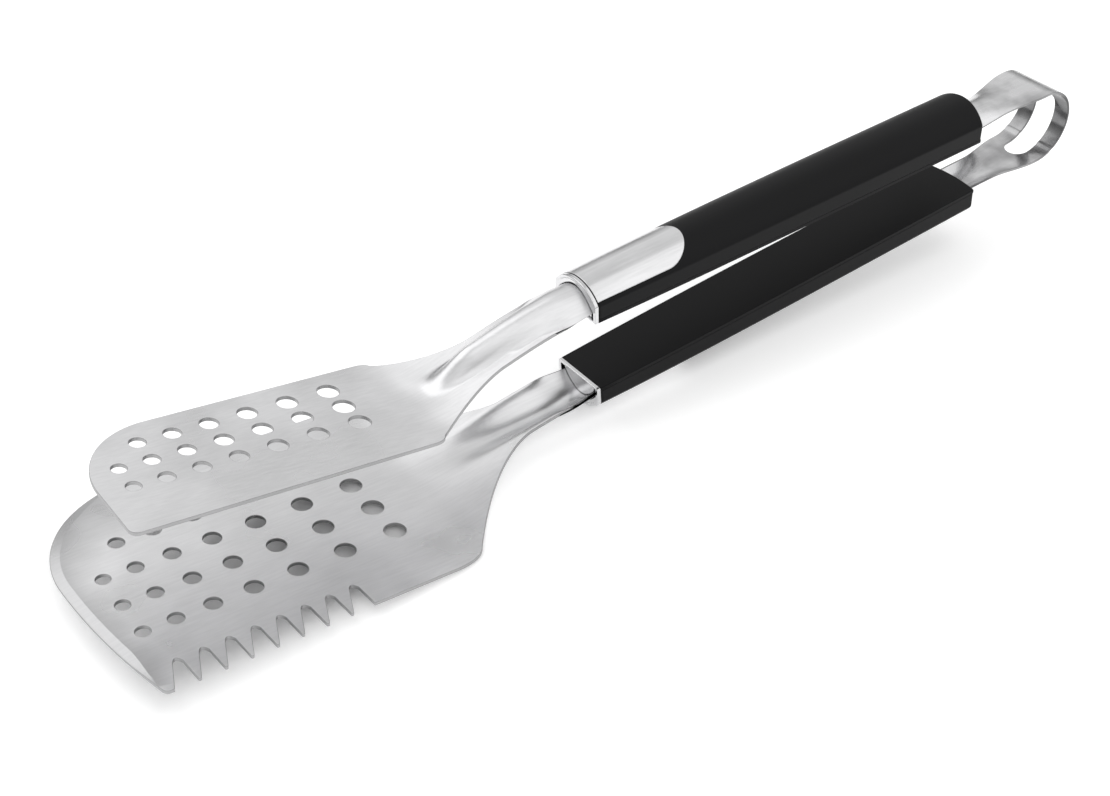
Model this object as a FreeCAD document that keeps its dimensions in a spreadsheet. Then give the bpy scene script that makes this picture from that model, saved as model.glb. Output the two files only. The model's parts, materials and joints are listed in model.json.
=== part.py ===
# Spring loaded barbecue tongs: two stamped steel arms with perforated heads, each gripped by a
# two-part handle, joined by one bent spring strip whose loop is also the hanging eye.
#
# Every handle piece is drawn once in the handle's own axes: X runs from the handle's front end
# towards the loop, Z points outwards, away from the other arm, and Z = 0 is the flat inner face.
# The upper and lower sets then take their places in the assembly, which stands on a table: +Z is
# up, +X points to the loop, and the origin is under the middle of the whole object.
import FreeCAD, Part
import math
import os
import Sketcher

doc = FreeCAD.newDocument("spring_tongs")
vec = FreeCAD.Vector

# ---------------------------------------------------------------- driving dimensions, mm and degrees
SIZES = {
    # sheet metal
    "arm_gauge": 1.4,
    "strip_gauge": 1.0,
    "joint_gap": 0.1,
    # handles
    "handle_length": 192.0,
    "handle_width": 23.3,
    "handle_side": 7.0,
    "handle_crown": 13.2,
    "handle_gap": 29.5,
    "handle_splay": 1.07,
    "cover_thickness": 1.6,
    "shell_wall": 1.5,
    "shell_end_round": 1.0,
    "swell_place": 70.0,
    "swell_width": 25.5,
    "swell_side": 7.8,
    "swell_crown": 14.5,
    "back_width": 26.4,
    "back_side": 8.2,
    "back_crown": 15.2,
    # front caps
    "cap_wall": 0.9,
    "cap_lip": 1.6,
    "cap_bevel": 0.8,
    "tongue_length": 45.0,
    "tongue_margin": 0.9,
    "end_plate_thickness": 0.8,
    "end_plate_recess": 0.7,
    # arm channel inside the handles
    "channel_gap": 0.05,
    "channel_base": 3.0,
    "head_gap": 0.4,
    "channel_inset": 40.0,
    "tail_overlap": 34.0,
    # plastic cores
    "core_gap": 2.2,
    "core_side": 3.4,
    "core_inset": 6.0,
    "core_back": 87.0,
    # necks
    "neck_inset": 1.35,
    "neck_rise": 6.9,
    "neck_base": 2.6,
    "neck_entry": 14.0,
    "neck_drop_start": 8.0,
    "flare_power": 1.65,
    "lower_reach": 75.0,
    "lower_drop": 6.5,
    "lower_bend": -9.4,
    "lower_root_half": 43.2,
    "lower_shoulder": 12.0,
    "lower_flare_start": 30.0,
    "lower_settle_start": 10.5,
    "upper_reach": 73.0,
    "upper_drop": -5.8,
    "upper_bend": 11.7,
    "upper_root_half": 23.3,
    "upper_shoulder": 4.5,
    "upper_flare_start": 39.5,
    "upper_settle_start": 27.5,
    # lower head
    "lower_head_length": 124.2,
    "lower_head_width": 96.0,
    "lower_corner": 38.0,
    "front_sweep": 230.0,
    "tooth_pitch": 8.8,
    "tooth_depth": 11.4,
    "tooth_start": 44.6,
    "tooth_lean": 0.45,
    "tooth_root_half": 1.65,
    "tooth_root_rise": 1.9,
    "tooth_blunt": 0.3,
    "tip_round": 2.0,
    "lower_hole_inset": 13.1,
    "lower_hole_step": 11.1,
    "lower_hole_growth": 1.63,
    "lower_row_pitch": 14.0,
    # upper head
    "upper_head_length": 111.2,
    "upper_head_width": 51.0,
    "upper_corner": 28.0,
    "upper_near_corner": 3.0,
    "upper_hole_inset": 10.6,
    "upper_hole_step": 10.9,
    "upper_hole_growth": 0.94,
    "upper_row_pitch": 10.06,
    "upper_row_shift": 5.67,
    # holes in both heads
    "hole_first": 5.0,
    "hole_last": 7.6,
    # spring loop
    "loop_radius": 16.0,
    "loop_overhang": 40.2,
    "loop_lift": 1.2,
    "loop_width": 24.0,
    "slot_width": 10.0,
    "slot_low_angle": -88.0,
    "slot_high_angle": 18.0,
    "strip_exit_flare": 0.3,
    "strip_exit_length": 20.0,
    "strip_flare_inset": 2.0,
    # fasteners
    "rivet_radius": 1.6,
    "rivet_head_radius": 2.8,
    "rivet_head": 0.7,
    "rivet_inset": 9.0,
    "rivet_spacing": 15.0,
    "screw_radius": 1.3,
    "screw_head_radius": 2.6,
    "screw_head": 1.0,
    "screw_inset": 22.0,
    "screw_spacing": 70.0,
    "screw_depth": 6.6,
}
LOWER_TEETH = 8
HOLE_COLUMNS = 7
LOWER_ROWS = 4
UPPER_ROWS = 3
NECK_STATIONS = 12
LEG_STATIONS = 9
NECK_OVERLAP = 1.0
SHOULDER_BOW = (0.35, 0.71)
END_ROUND_STEPS = ((1.0, 0.0), (0.3, 0.3), (0.0, 1.0))
TOUCH = 0.01

sheet = doc.addObject("Spreadsheet::Sheet", "Sizes")
for row, (alias, number) in enumerate(SIZES.items(), start=1):
    sheet.set("A%d" % row, alias)
    sheet.set("B%d" % row, str(number))
    sheet.setAlias("B%d" % row, alias)
doc.recompute()


def size(alias):
    """One driving dimension, read back from the sheet."""
    return float(sheet.get(alias))


# Sizes worked out from the driving ones, as expressions that the sketches are bound to as well.
WIDE = "Sizes.handle_width / 2"
SIDE = "Sizes.handle_side"
CROWN = "Sizes.handle_crown"
GAP = "Sizes.joint_gap"
NECK_HALF = WIDE + " - Sizes.neck_inset"
CHANNEL_HALF = WIDE + " - Sizes.shell_wall - Sizes.channel_gap - Sizes.arm_gauge"
ARM_TOP = CROWN + " - Sizes.shell_wall - Sizes.head_gap - Sizes.screw_head"
CHANNEL_TOP = ARM_TOP + " - Sizes.arm_gauge"
CHANNEL_RISE = CHANNEL_TOP + " - Sizes.channel_base"
STRIP_BOTTOM = CHANNEL_TOP + " - Sizes.joint_gap - Sizes.strip_gauge"
ARCH_DROP = "1.25 * (%s) * (Sizes.rivet_head_radius / (%s))^2" % (CHANNEL_RISE, CHANNEL_HALF)
RIVET_SEAT = STRIP_BOTTOM + " - " + ARCH_DROP
CORE_HALF = CHANNEL_HALF + " - Sizes.strip_gauge - Sizes.joint_gap - Sizes.core_gap"
CORE_CROWN = RIVET_SEAT + " - Sizes.rivet_head - Sizes.joint_gap"
TONGUE_HALF = WIDE + " - Sizes.tongue_margin"
LOOP_REACH = "Sizes.handle_length + Sizes.loop_overhang"
CHANNEL_LENGTH = "Sizes.handle_length - Sizes.channel_inset"


def evaluated(expression):
    """The number that an expression of the sheet gives now."""
    text = expression
    for alias in sorted(SIZES, key=len, reverse=True):
        text = text.replace("Sizes." + alias, "%r" % size(alias))
    return float(FreeCAD.Units.Quantity("(%s)" % text).Value)


# ---------------------------------------------------------------- placements
def turn_y(degrees):
    return FreeCAD.Placement(vec(0, 0, 0), FreeCAD.Rotation(vec(0, 1, 0), degrees))


def shift(x, y, z):
    return FreeCAD.Placement(vec(x, y, z), FreeCAD.Rotation())


def in_middle_frame(side):
    """Handle axes to the frame whose XY plane lies half way between the two handles."""
    half_gap = size("handle_gap") / 2
    if side == "upper":
        return shift(0, 0, half_gap) * turn_y(size("handle_splay"))
    flip = FreeCAD.Placement(vec(0, 0, 0), FreeCAD.Rotation(vec(1, 0, 0), 180))
    return shift(0, 0, -half_gap) * turn_y(-size("handle_splay")) * flip


def rest_tilt():
    """Angle that puts the lower head's crease and the lower cap's front edge on one table."""
    rise = size("handle_crown") - size("lower_drop") - size("arm_gauge")
    run = size("lower_reach") - size("cap_lip") + size("cap_bevel")
    return math.degrees(math.atan2(rise, run)) - size("handle_splay")


# ---------------------------------------------------------------- small builders
def origin_plane(body, role):
    for feature in body.Origin.OriginFeatures:
        if feature.Role == role:
            return feature
    raise ValueError(role)


def new_sketch(body, name, role, offset=0.0):
    sketch = body.newObject("Sketcher::SketchObject", name)
    sketch.AttachmentSupport = [(origin_plane(body, role), "")]
    sketch.MapMode = "FlatFace"
    sketch.AttachmentOffset = FreeCAD.Placement(vec(0, 0, offset), FreeCAD.Rotation())
    return sketch


def bind(sketch, number, name, expression):
    sketch.renameConstraint(number, name)
    sketch.setExpression("Constraints." + name, expression)


def arched_profile(sketch, half, base, side, crown):
    """A flat base, two upright sides and a round crown, each size an expression of the sheet."""
    a, b, s, c = (evaluated(text) for text in (half, base, side, crown))
    rise = c - s
    radius = (a * a + rise * rise) / (2 * rise)
    spread = math.asin(a / radius)
    centre = vec(0, c - radius, 0)
    up = math.pi / 2
    sketch.addGeometry(Part.LineSegment(vec(-a, b, 0), vec(a, b, 0)))
    sketch.addGeometry(Part.LineSegment(vec(a, b, 0), vec(a, s, 0)))
    crown_circle = Part.Circle(centre, vec(0, 0, 1), radius)
    sketch.addGeometry(Part.ArcOfCircle(crown_circle, up - spread, up + spread))
    sketch.addGeometry(Part.LineSegment(vec(-a, s, 0), vec(-a, b, 0)))
    for first, first_end, second, second_end in ((0, 2, 1, 1), (1, 2, 2, 1), (2, 2, 3, 1), (3, 2, 0, 1)):
        sketch.addConstraint(Sketcher.Constraint("Coincident", first, first_end, second, second_end))
    sketch.addConstraint(Sketcher.Constraint("Vertical", 1))
    sketch.addConstraint(Sketcher.Constraint("Vertical", 3))
    sketch.addConstraint(Sketcher.Constraint("Symmetric", 0, 1, 0, 2, -2))
    sketch.addConstraint(Sketcher.Constraint("PointOnObject", 2, 3, -2))
    number = sketch.addConstraint(Sketcher.Constraint("DistanceX", 0, 1, 0, 2, 2 * a))
    bind(sketch, number, "width", "2 * (%s)" % half)
    number = sketch.addConstraint(Sketcher.Constraint("DistanceY", -1, 1, 0, 1, b))
    bind(sketch, number, "base", base)
    number = sketch.addConstraint(Sketcher.Constraint("DistanceY", -1, 1, 1, 2, s))
    bind(sketch, number, "side", side)
    number = sketch.addConstraint(Sketcher.Constraint("Radius", 2, radius))
    bind(sketch, number, "crown", "((%s)^2 + (%s - (%s))^2) / (2 * (%s - (%s)))"
         % (half, crown, side, crown, side))


def arched_prism(name, half, base, side, crown, start, length):
    """A bar of arched profile along X from start, as a body whose sizes follow the sheet."""
    body = doc.addObject("PartDesign::Body", name)
    sketch = new_sketch(body, name + "_profile", "YZ_Plane")
    arched_profile(sketch, half, base, side, crown)
    sketch.setExpression("AttachmentOffset.Base.z", start)
    pad = body.newObject("PartDesign::Pad", name + "_pad")
    pad.Profile = sketch
    pad.setExpression("Length", length)
    doc.recompute()
    return body


def arched_loft(name, stations):
    """A bar through arched profiles; each station is its x, half, base, side and crown as expressions."""
    body = doc.addObject("PartDesign::Body", name)
    sketches = []
    for number, (x, half, base, side, crown) in enumerate(stations):
        sketch = new_sketch(body, "%s_profile_%d" % (name, number), "YZ_Plane")
        arched_profile(sketch, half, base, side, crown)
        sketch.setExpression("AttachmentOffset.Base.z", x)
        sketches.append(sketch)
    bar = body.newObject("PartDesign::AdditiveLoft", name + "_loft")
    bar.Profile = sketches[0]
    bar.Sections = sketches[1:]
    bar.Ruled = True
    doc.recompute()
    return body


def grip_outlines():
    """The grip's place, half width, side and crown at its front, where it has swelled, and at its back."""
    return [
        ("0", WIDE, SIDE, CROWN),
        ("Sizes.swell_place", "Sizes.swell_width / 2", "Sizes.swell_side", "Sizes.swell_crown"),
        ("Sizes.handle_length", "Sizes.back_width / 2", "Sizes.back_side", "Sizes.back_crown"),
    ]


def combine(kind, name, base, tool):
    result = doc.addObject("Part::" + kind, name)
    result.Base = base
    result.Tool = tool
    doc.recompute()
    return result


def bore(name, radius, x, low, high):
    """An upright cylinder on the handle's middle line, for a fastener or its hole."""
    cylinder = doc.addObject("Part::Cylinder", name)
    cylinder.setExpression("Radius", radius)
    cylinder.setExpression("Placement.Base.x", x)
    cylinder.setExpression("Placement.Base.z", low)
    cylinder.setExpression("Height", "(%s) - (%s)" % (high, low))
    return cylinder


def bundle(name, members):
    group = doc.addObject("Part::Compound", name)
    group.Links = members
    doc.recompute()
    return group


# ---------------------------------------------------------------- sheet sections
class Arch:
    """A parabola across the sheet: half width, rise above its two rims, and height of the rims."""

    def __init__(self, half, rise, base):
        self.half = half
        self.rise = rise
        self.base = base

    def poles(self, offset):
        """Control points of the same curve moved outwards by offset along its normal."""
        slope = math.atan2(2 * self.rise, self.half)
        half = self.half + offset * math.sin(slope)
        rim = self.base + offset * math.cos(slope)
        crown = self.base + self.rise + offset
        return [(-half, rim), (0.0, 2 * crown - rim), (half, rim)]


def sheet_section(arch, inside, outside, place):
    """Closed outline of a sheet between two offsets of an arch, stood up by place(y, z)."""
    low = [place(y, z) for y, z in arch.poles(inside)]
    high = [place(y, z) for y, z in arch.poles(outside)]
    curves = []
    for poles in (low, high):
        curve = Part.BezierCurve()
        curve.setPoles(poles)
        curves.append(curve.toShape())
    ends = [Part.makeLine(low[2], high[2]), Part.makeLine(high[0], low[0])]
    return Part.Wire(Part.__sortEdges__([curves[0], ends[0], curves[1], ends[1]]))


def loft(sections):
    return Part.makeLoft(sections, True, False)


def smooth_step(position, start, end):
    part = min(max((position - start) / (end - start), 0.0), 1.0)
    return part * part * (3 - 2 * part)


def handle_arch():
    return Arch(evaluated(CHANNEL_HALF), evaluated(CHANNEL_RISE), size("channel_base"))


def neck_arch(side, distance):
    """The sheet's cross section at a distance in front of the handle, out to the crease."""
    reach = size(side + "_reach")
    drop = size(side + "_drop")
    start = handle_arch()
    entry = smooth_step(distance, 0.0, size("neck_entry"))
    half = start.half + (evaluated(NECK_HALF) - start.half) * entry
    rise = start.rise + (size("neck_rise") - start.rise) * entry
    base = start.base + (size("neck_base") - start.base) * entry
    flare_start = size(side + "_flare_start")
    flare = max(0.0, (distance - flare_start) / (reach - flare_start)) ** size("flare_power")
    half = half + (size(side + "_root_half") - half) * flare
    rise = rise * (1 - smooth_step(distance, size(side + "_settle_start"), reach))
    base = base + (drop - base) * smooth_step(distance, size("neck_drop_start"), reach)
    return Arch(half, rise, base)


def arm_neck(side):
    reach = size(side + "_reach")
    gauge = size("arm_gauge")
    sections = []
    for station in range(NECK_STATIONS + 1):
        distance = reach * station / NECK_STATIONS
        arch = neck_arch(side, distance)
        sections.append(sheet_section(arch, 0.0, gauge, lambda y, z: vec(-distance, y, z)))
    return loft(sections)


def arm_channel():
    """The straight stretch of channel that lies inside the handle."""
    sections = []
    for x in (0.0, evaluated(CHANNEL_LENGTH)):
        sections.append(sheet_section(handle_arch(), 0.0, size("arm_gauge"), lambda y, z: vec(x, y, z)))
    return loft(sections)


# ---------------------------------------------------------------- heads
def arc(first, middle, last):
    return Part.Arc(vec(*first, 0), vec(*middle, 0), vec(*last, 0)).toShape()


def line(first, last):
    return Part.makeLine(vec(*first, 0), vec(*last, 0))


def corner_middle(centre, radius, degrees):
    angle = math.radians(degrees)
    return (centre[0] + radius * math.cos(angle), centre[1] + radius * math.sin(angle))


def tooth_edges(edge_y, inwards):
    """The saw teeth from the handle side to the tip: a square flank, a round root, a sloped flank."""
    pitch = size("tooth_pitch")
    depth = size("tooth_depth")
    root_top = edge_y + inwards * depth
    root_low = edge_y + inwards * (depth - size("tooth_root_rise"))
    root_half = size("tooth_root_half")
    lean = size("tooth_lean")
    edges = []
    x = -size("tooth_start")
    for _ in range(LOWER_TEETH):
        flank = (x - lean, root_low)
        arch_top = (x - lean - root_half, root_top)
        slope_top = (x - lean - 2 * root_half, root_low)
        tip = (x - pitch + size("tooth_blunt"), edge_y)
        edges.append(line((x, edge_y), flank))
        edges.append(arc(flank, arch_top, slope_top))
        edges.append(line(slope_top, tip))
        x = x - pitch
        edges.append(line(tip, (x, edge_y)))
    return edges, x


def crease_edges(side, half):
    """Both round shoulders and the end of the plate, which overlaps the neck by a millimetre."""
    root = size(side + "_root_half")
    shoulder = size(side + "_shoulder")
    bow = (-SHOULDER_BOW[0] * shoulder, root + SHOULDER_BOW[1] * (half - root))
    inner = root - NECK_OVERLAP
    return [
        arc((0.0, root), bow, (-shoulder, half)),
        arc((0.0, -root), (bow[0], -bow[1]), (-shoulder, -half)),
        line((0.0, root), (NECK_OVERLAP, inner)),
        line((NECK_OVERLAP, inner), (NECK_OVERLAP, -inner)),
        line((NECK_OVERLAP, -inner), (0.0, -root)),
    ]


def swept_back(distance):
    """How far the gently curved front edge has fallen back at a distance from its foremost point."""
    return distance ** 2 / (2 * size("front_sweep"))


def lower_outline():
    """Plan of the lower head: crease at x = 0, front edge at -length, teeth on the +Y side here."""
    half = size("lower_head_width") / 2
    length = size("lower_head_length")
    radius = size("lower_corner")
    teeth, x = tooth_edges(half, -1)
    front_y = radius - half
    round_y = half - size("tip_round")
    near = (-length + swept_back(round_y - front_y), round_y)
    bow = (-length + swept_back((round_y - front_y) / 2), (round_y + front_y) / 2)
    centre = (-length + radius, front_y)
    tip_bow = ((x + near[0] - size("tip_round") / 3) / 2, half - size("tip_round") / 4)
    edges = crease_edges("lower", half)
    edges.append(line((-size("lower_shoulder"), half), (-size("tooth_start"), half)))
    edges.extend(teeth)
    edges.append(arc((x, half), tip_bow, near))
    edges.append(arc(near, bow, (-length, front_y)))
    edges.append(arc((-length, front_y), corner_middle(centre, radius, 225), (centre[0], -half)))
    edges.append(line((centre[0], -half), (-size("lower_shoulder"), -half)))
    return edges


def upper_outline():
    """Plan of the upper head: crease at x = 0, large corner on the +Y side, small one on -Y."""
    half = size("upper_head_width") / 2
    length = size("upper_head_length")
    radius = size("upper_corner")
    small = size("upper_near_corner")
    shoulder = size("upper_shoulder")
    centre = (-length + radius, half - radius)
    tight = (-length + small, -half + small)
    edges = crease_edges("upper", half)
    edges.append(line((-shoulder, -half), (tight[0], -half)))
    edges.append(arc((tight[0], -half), corner_middle(tight, small, 225), (-length, tight[1])))
    edges.append(line((-length, tight[1]), (-length, centre[1])))
    edges.append(arc((-length, centre[1]), corner_middle(centre, radius, 135), (centre[0], half)))
    edges.append(line((centre[0], half), (-shoulder, half)))
    return edges


def hole_grid(side, rows, middle_y):
    """Hole centres and radii: the columns spread and the holes grow from the tip to the crease."""
    first = -size(side + "_head_length") + size(side + "_hole_inset")
    step = size(side + "_hole_step")
    growth = size(side + "_hole_growth")
    pitch = size(side + "_row_pitch")
    far_row = {"lower": 0, "upper": rows - 1}[side]
    for column in range(HOLE_COLUMNS):
        x = first + step * column + growth * column * (column - 1) / 2
        share = column / (HOLE_COLUMNS - 1)
        radius = (size("hole_first") + (size("hole_last") - size("hole_first")) * share) / 2
        for row in range(rows):
            if column == 0 and row == far_row:
                continue
            yield x, middle_y + (row - (rows - 1) / 2) * pitch, radius


def head_plate(side):
    gauge = size("arm_gauge")
    if side == "lower":
        outline = lower_outline()
        holes = hole_grid(side, LOWER_ROWS, 0.0)
    else:
        outline = upper_outline()
        holes = hole_grid(side, UPPER_ROWS, size("upper_row_shift"))
    plate = Part.Face(Part.Wire(Part.__sortEdges__(outline))).extrude(vec(0, 0, gauge))
    cutters = [Part.makeCylinder(radius, 3 * gauge, vec(x, y, -gauge)) for x, y, radius in holes]
    plate = plate.cut(Part.makeCompound(cutters))
    plate.Placement = shift(-size(side + "_reach"), 0, size(side + "_drop")) * turn_y(size(side + "_bend"))
    return plate


def fastener_places():
    """Distances from the handle's front of the core screws and of the spring rivets."""
    screws = [size("screw_inset") + size("screw_spacing") * number for number in range(2)]
    first = evaluated(CHANNEL_LENGTH) - size("rivet_inset")
    rivets = [first - size("rivet_spacing") * number for number in range(2)]
    return screws, rivets


def make_arm(side):
    """One stamping: channel in the handle, flared neck, crease and perforated flat head."""
    shape = arm_channel().fuse(arm_neck(side)).fuse(head_plate(side)).removeSplitter()
    screws, rivets = fastener_places()
    top = size("handle_crown")
    gap = size("joint_gap")
    for x in screws:
        shape = shape.cut(Part.makeCylinder(size("screw_radius") + gap, top, vec(x, 0, 0)))
    for x in rivets:
        shape = shape.cut(Part.makeCylinder(size("rivet_radius") + gap, top, vec(x, 0, 0)))
    arm = doc.addObject("Part::Feature", side + "_arm")
    arm.Shape = shape
    return arm


# ---------------------------------------------------------------- spring loop
def strip_half(x):
    """Half width of the strip: it widens a little where it leaves the handle."""
    start = evaluated(CHANNEL_LENGTH)
    entry = smooth_step(x, start, start + size("strip_exit_length"))
    return evaluated(CHANNEL_HALF) + size("strip_exit_flare") * entry


def strip_leg(side):
    """Tail inside the handle and flare up to the bend, in the frame midway between the handles."""
    place = in_middle_frame(side)
    gap = size("joint_gap")
    gauge = size("strip_gauge")
    start = evaluated(CHANNEL_LENGTH) - size("tail_overlap")
    sections = []
    for x in (start, evaluated(CHANNEL_LENGTH)):
        sections.append(sheet_section(handle_arch(), -gap - gauge, -gap,
                                      lambda y, z: place.multVec(vec(x, y, z))))
    leg = loft(sections)
    sign = {"upper": 1, "lower": -1}[side]
    end = vec(evaluated(LOOP_REACH), 0, size("loop_lift") + sign * (size("loop_radius") - gauge))
    end = place.inverse().multVec(end)
    arch = handle_arch()
    sections = []
    for station in range(LEG_STATIONS + 1):
        share = station / LEG_STATIONS
        x = evaluated(CHANNEL_LENGTH) + (end.x - evaluated(CHANNEL_LENGTH)) * share
        flare = smooth_step(x, size("handle_length") - size("strip_flare_inset"), end.x)
        half = strip_half(x) + (size("loop_width") / 2 - strip_half(x)) * flare
        rise = arch.rise * (1 - flare)
        base = arch.base + (end.z - arch.base) * flare
        inside = (-gap - gauge) * (1 - flare)
        tip_lean = math.radians(size("handle_splay") * flare)
        outside = inside + gauge * math.cos(tip_lean)

        def stand(y, z, x=x, tip_lean=tip_lean):
            return place.multVec(vec(x - math.tan(tip_lean) * (z - end.z), y, z))

        sections.append(sheet_section(Arch(half, rise, base), inside, outside, stand))
    return leg.fuse(loft(sections))


def hanging_slot():
    """Cutter for the slot: a sector round the bend's axis with a round end at each of its two angles."""
    centre = vec(evaluated(LOOP_REACH), 0, size("loop_lift"))
    half_width = size("slot_width") / 2
    reach = 2 * size("loop_radius")
    low = size("slot_low_angle")
    high = size("slot_high_angle")
    toward_z = FreeCAD.Rotation(vec(1, 0, 0), 90)
    sector = Part.makeCylinder(reach, 2 * half_width, vec(0, 0, -half_width), vec(0, 0, 1), high - low)
    sector.Placement = FreeCAD.Placement(centre, toward_z * FreeCAD.Rotation(vec(0, 0, 1), low))
    for angle in (low, high):
        radians = math.radians(angle)
        way = vec(math.cos(radians), 0, math.sin(radians))
        sector = sector.fuse(Part.makeCylinder(half_width, reach, centre, way))
    return sector


def make_spring():
    """One strip: two tails, two flares and a round bend with a long hanging slot through it."""
    outer = size("loop_radius")
    width = size("loop_width")
    middle = vec(evaluated(LOOP_REACH), -width / 2, size("loop_lift"))
    along = vec(0, 1, 0)
    ring = Part.makeCylinder(outer, width, middle, along)
    ring = ring.cut(Part.makeCylinder(outer - size("strip_gauge"), width, middle, along))
    keep = Part.makeBox(2 * outer, width, 3 * outer, middle - vec(0, 0, 1.5 * outer))
    strip = ring.common(keep).fuse(strip_leg("upper")).fuse(strip_leg("lower"))
    strip = strip.cut(hanging_slot())
    _, rivets = fastener_places()
    for side in ("upper", "lower"):
        place = in_middle_frame(side)
        for x in rivets:
            hole = Part.makeCylinder(size("rivet_radius") + size("joint_gap"), size("handle_crown"))
            hole.Placement = place * shift(x, 0, 0)
            strip = strip.cut(hole)
    spring = doc.addObject("Part::Feature", "spring_loop")
    spring.Shape = strip.removeSplitter()
    return spring


# ---------------------------------------------------------------- handle pieces
def tongue_outline(name, grow):
    """Plan of the cap's tongue: straight sides and a half-round end, as a tall prism."""
    body = doc.addObject("PartDesign::Body", name)
    sketch = new_sketch(body, name + "_plan", "XY_Plane")
    half = evaluated(TONGUE_HALF)
    straight = size("tongue_length") - half
    front = -size("cap_lip") / 2
    sketch.addGeometry(Part.LineSegment(vec(straight, -half, 0), vec(front, -half, 0)))
    sketch.addGeometry(Part.LineSegment(vec(front, -half, 0), vec(front, half, 0)))
    sketch.addGeometry(Part.LineSegment(vec(front, half, 0), vec(straight, half, 0)))
    end = Part.Circle(vec(straight, 0, 0), vec(0, 0, 1), half)
    sketch.addGeometry(Part.ArcOfCircle(end, -math.pi / 2, math.pi / 2))
    sketch.addConstraint(Sketcher.Constraint("Coincident", 0, 2, 1, 1))
    sketch.addConstraint(Sketcher.Constraint("Coincident", 1, 2, 2, 1))
    sketch.addConstraint(Sketcher.Constraint("Tangent", 2, 2, 3, 2))
    sketch.addConstraint(Sketcher.Constraint("Tangent", 3, 1, 0, 1))
    sketch.addConstraint(Sketcher.Constraint("Vertical", 1))
    sketch.addConstraint(Sketcher.Constraint("Horizontal", 0))
    sketch.addConstraint(Sketcher.Constraint("PointOnObject", 3, 3, -1))
    number = sketch.addConstraint(Sketcher.Constraint("DistanceX", 1, 1, -1, 1, -front))
    bind(sketch, number, "start", "Sizes.cap_lip / 2")
    number = sketch.addConstraint(Sketcher.Constraint("Radius", 3, half))
    bind(sketch, number, "round_end", TONGUE_HALF + " + " + grow)
    number = sketch.addConstraint(Sketcher.Constraint("DistanceX", -1, 1, 3, 3, straight))
    bind(sketch, number, "straight", "Sizes.tongue_length - (%s)" % TONGUE_HALF)
    pad = body.newObject("PartDesign::Pad", name + "_pad")
    pad.Profile = sketch
    pad.setExpression("Length", "2 * Sizes.handle_crown")
    doc.recompute()
    return body


def arch_skin(name, top, depth, grow):
    """The tongue's band: the outermost layer of the handle's crown, as deep as depth."""
    outlines = grip_outlines()
    outer = [(x, half + " + " + top, SIDE, side + " + " + GAP, crown + " + " + top)
             for x, half, side, crown in outlines]
    inner = [(x, half + " - " + depth, "Sizes.cover_thickness", side + " - " + depth, crown + " - " + depth)
             for x, half, side, crown in outlines]
    outer.insert(0, ("-Sizes.cap_lip / 2",) + outer[0][1:])
    inner.insert(0, ("-Sizes.cap_lip",) + inner[0][1:])
    skin = combine("Cut", name + "_skin", arched_loft(name + "_outer", outer), arched_loft(name + "_inner", inner))
    return combine("Common", name, skin, tongue_outline(name + "_plan_prism", grow))


def make_cap(side):
    """Steel cap: a lip round the handle's front end, open for the arm, and the crown tongue."""
    ring = arched_prism(side + "_cap_ring", WIDE, "0", SIDE, CROWN, "-Sizes.cap_lip", "Sizes.cap_lip")
    lip = ring.newObject("PartDesign::Chamfer", side + "_cap_bevel")
    front_edges = []
    for number, edge in enumerate(ring.Shape.Edges, start=1):
        low = edge.BoundBox
        if low.XMax < -size("cap_lip") + TOUCH and low.ZMax > size("handle_side") + TOUCH:
            front_edges.append("Edge%d" % number)
    lip.Base = (doc.getObject(side + "_cap_ring_pad"), front_edges)
    lip.setExpression("Size", "Sizes.cap_bevel")
    ring.Tip = lip
    doc.recompute()
    passage = doc.addObject("Part::Feature", side + "_cap_passage")
    gap = size("joint_gap")
    arch = handle_arch()
    walls = [vec(0, y, z) for y, z in arch.poles(size("arm_gauge") + 2 * gap)]
    curve = Part.BezierCurve()
    curve.setPoles(walls)
    floor = size("cap_wall")
    left = vec(0, walls[0].y, floor)
    right = vec(0, walls[2].y, floor)
    edges = [curve.toShape(), Part.makeLine(walls[2], right), Part.makeLine(right, left),
             Part.makeLine(left, walls[0])]
    face = Part.Face(Part.Wire(Part.__sortEdges__(edges)))
    reach = 2 * size("cap_lip")
    passage.Shape = face.extrude(vec(2 * reach, 0, 0))
    passage.Placement = shift(-reach, 0, 0)
    open_ring = combine("Cut", side + "_cap_open_ring", ring, passage)
    tongue = arch_skin(side + "_tongue", "0", "Sizes.cap_wall", "0")
    return combine("Fuse", side + "_front_cap", open_ring, tongue)


def make_shell(side):
    """Black outer shell, open towards the inner face, relieved for the cap's tongue."""
    stations = [(x, half, "Sizes.cover_thickness", edge, crown) for x, half, edge, crown in grip_outlines()]
    length, half, base, edge, crown = stations.pop()
    for share_back, share_in in END_ROUND_STEPS:
        inset = " - %g * Sizes.shell_end_round" % share_in
        place = length + " - %g * Sizes.shell_end_round" % share_back
        stations.append((place, half + inset, base, edge + inset, crown + inset))
    solid = arched_loft(side + "_shell_solid", stations)
    hollow = arched_prism(side + "_shell_hollow", WIDE + " - Sizes.shell_wall", "Sizes.cover_thickness / 2",
                          SIDE + " - Sizes.shell_wall", CROWN + " - Sizes.shell_wall",
                          "-Sizes.cap_lip", "Sizes.handle_length + 2 * Sizes.cap_lip")
    tube = combine("Cut", side + "_shell_tube", solid, hollow)
    relief = arch_skin(side + "_relief", "Sizes.cap_wall", "(Sizes.cap_wall + Sizes.joint_gap / 2)", GAP)
    return combine("Cut", side + "_grip_shell", tube, relief)


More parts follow.
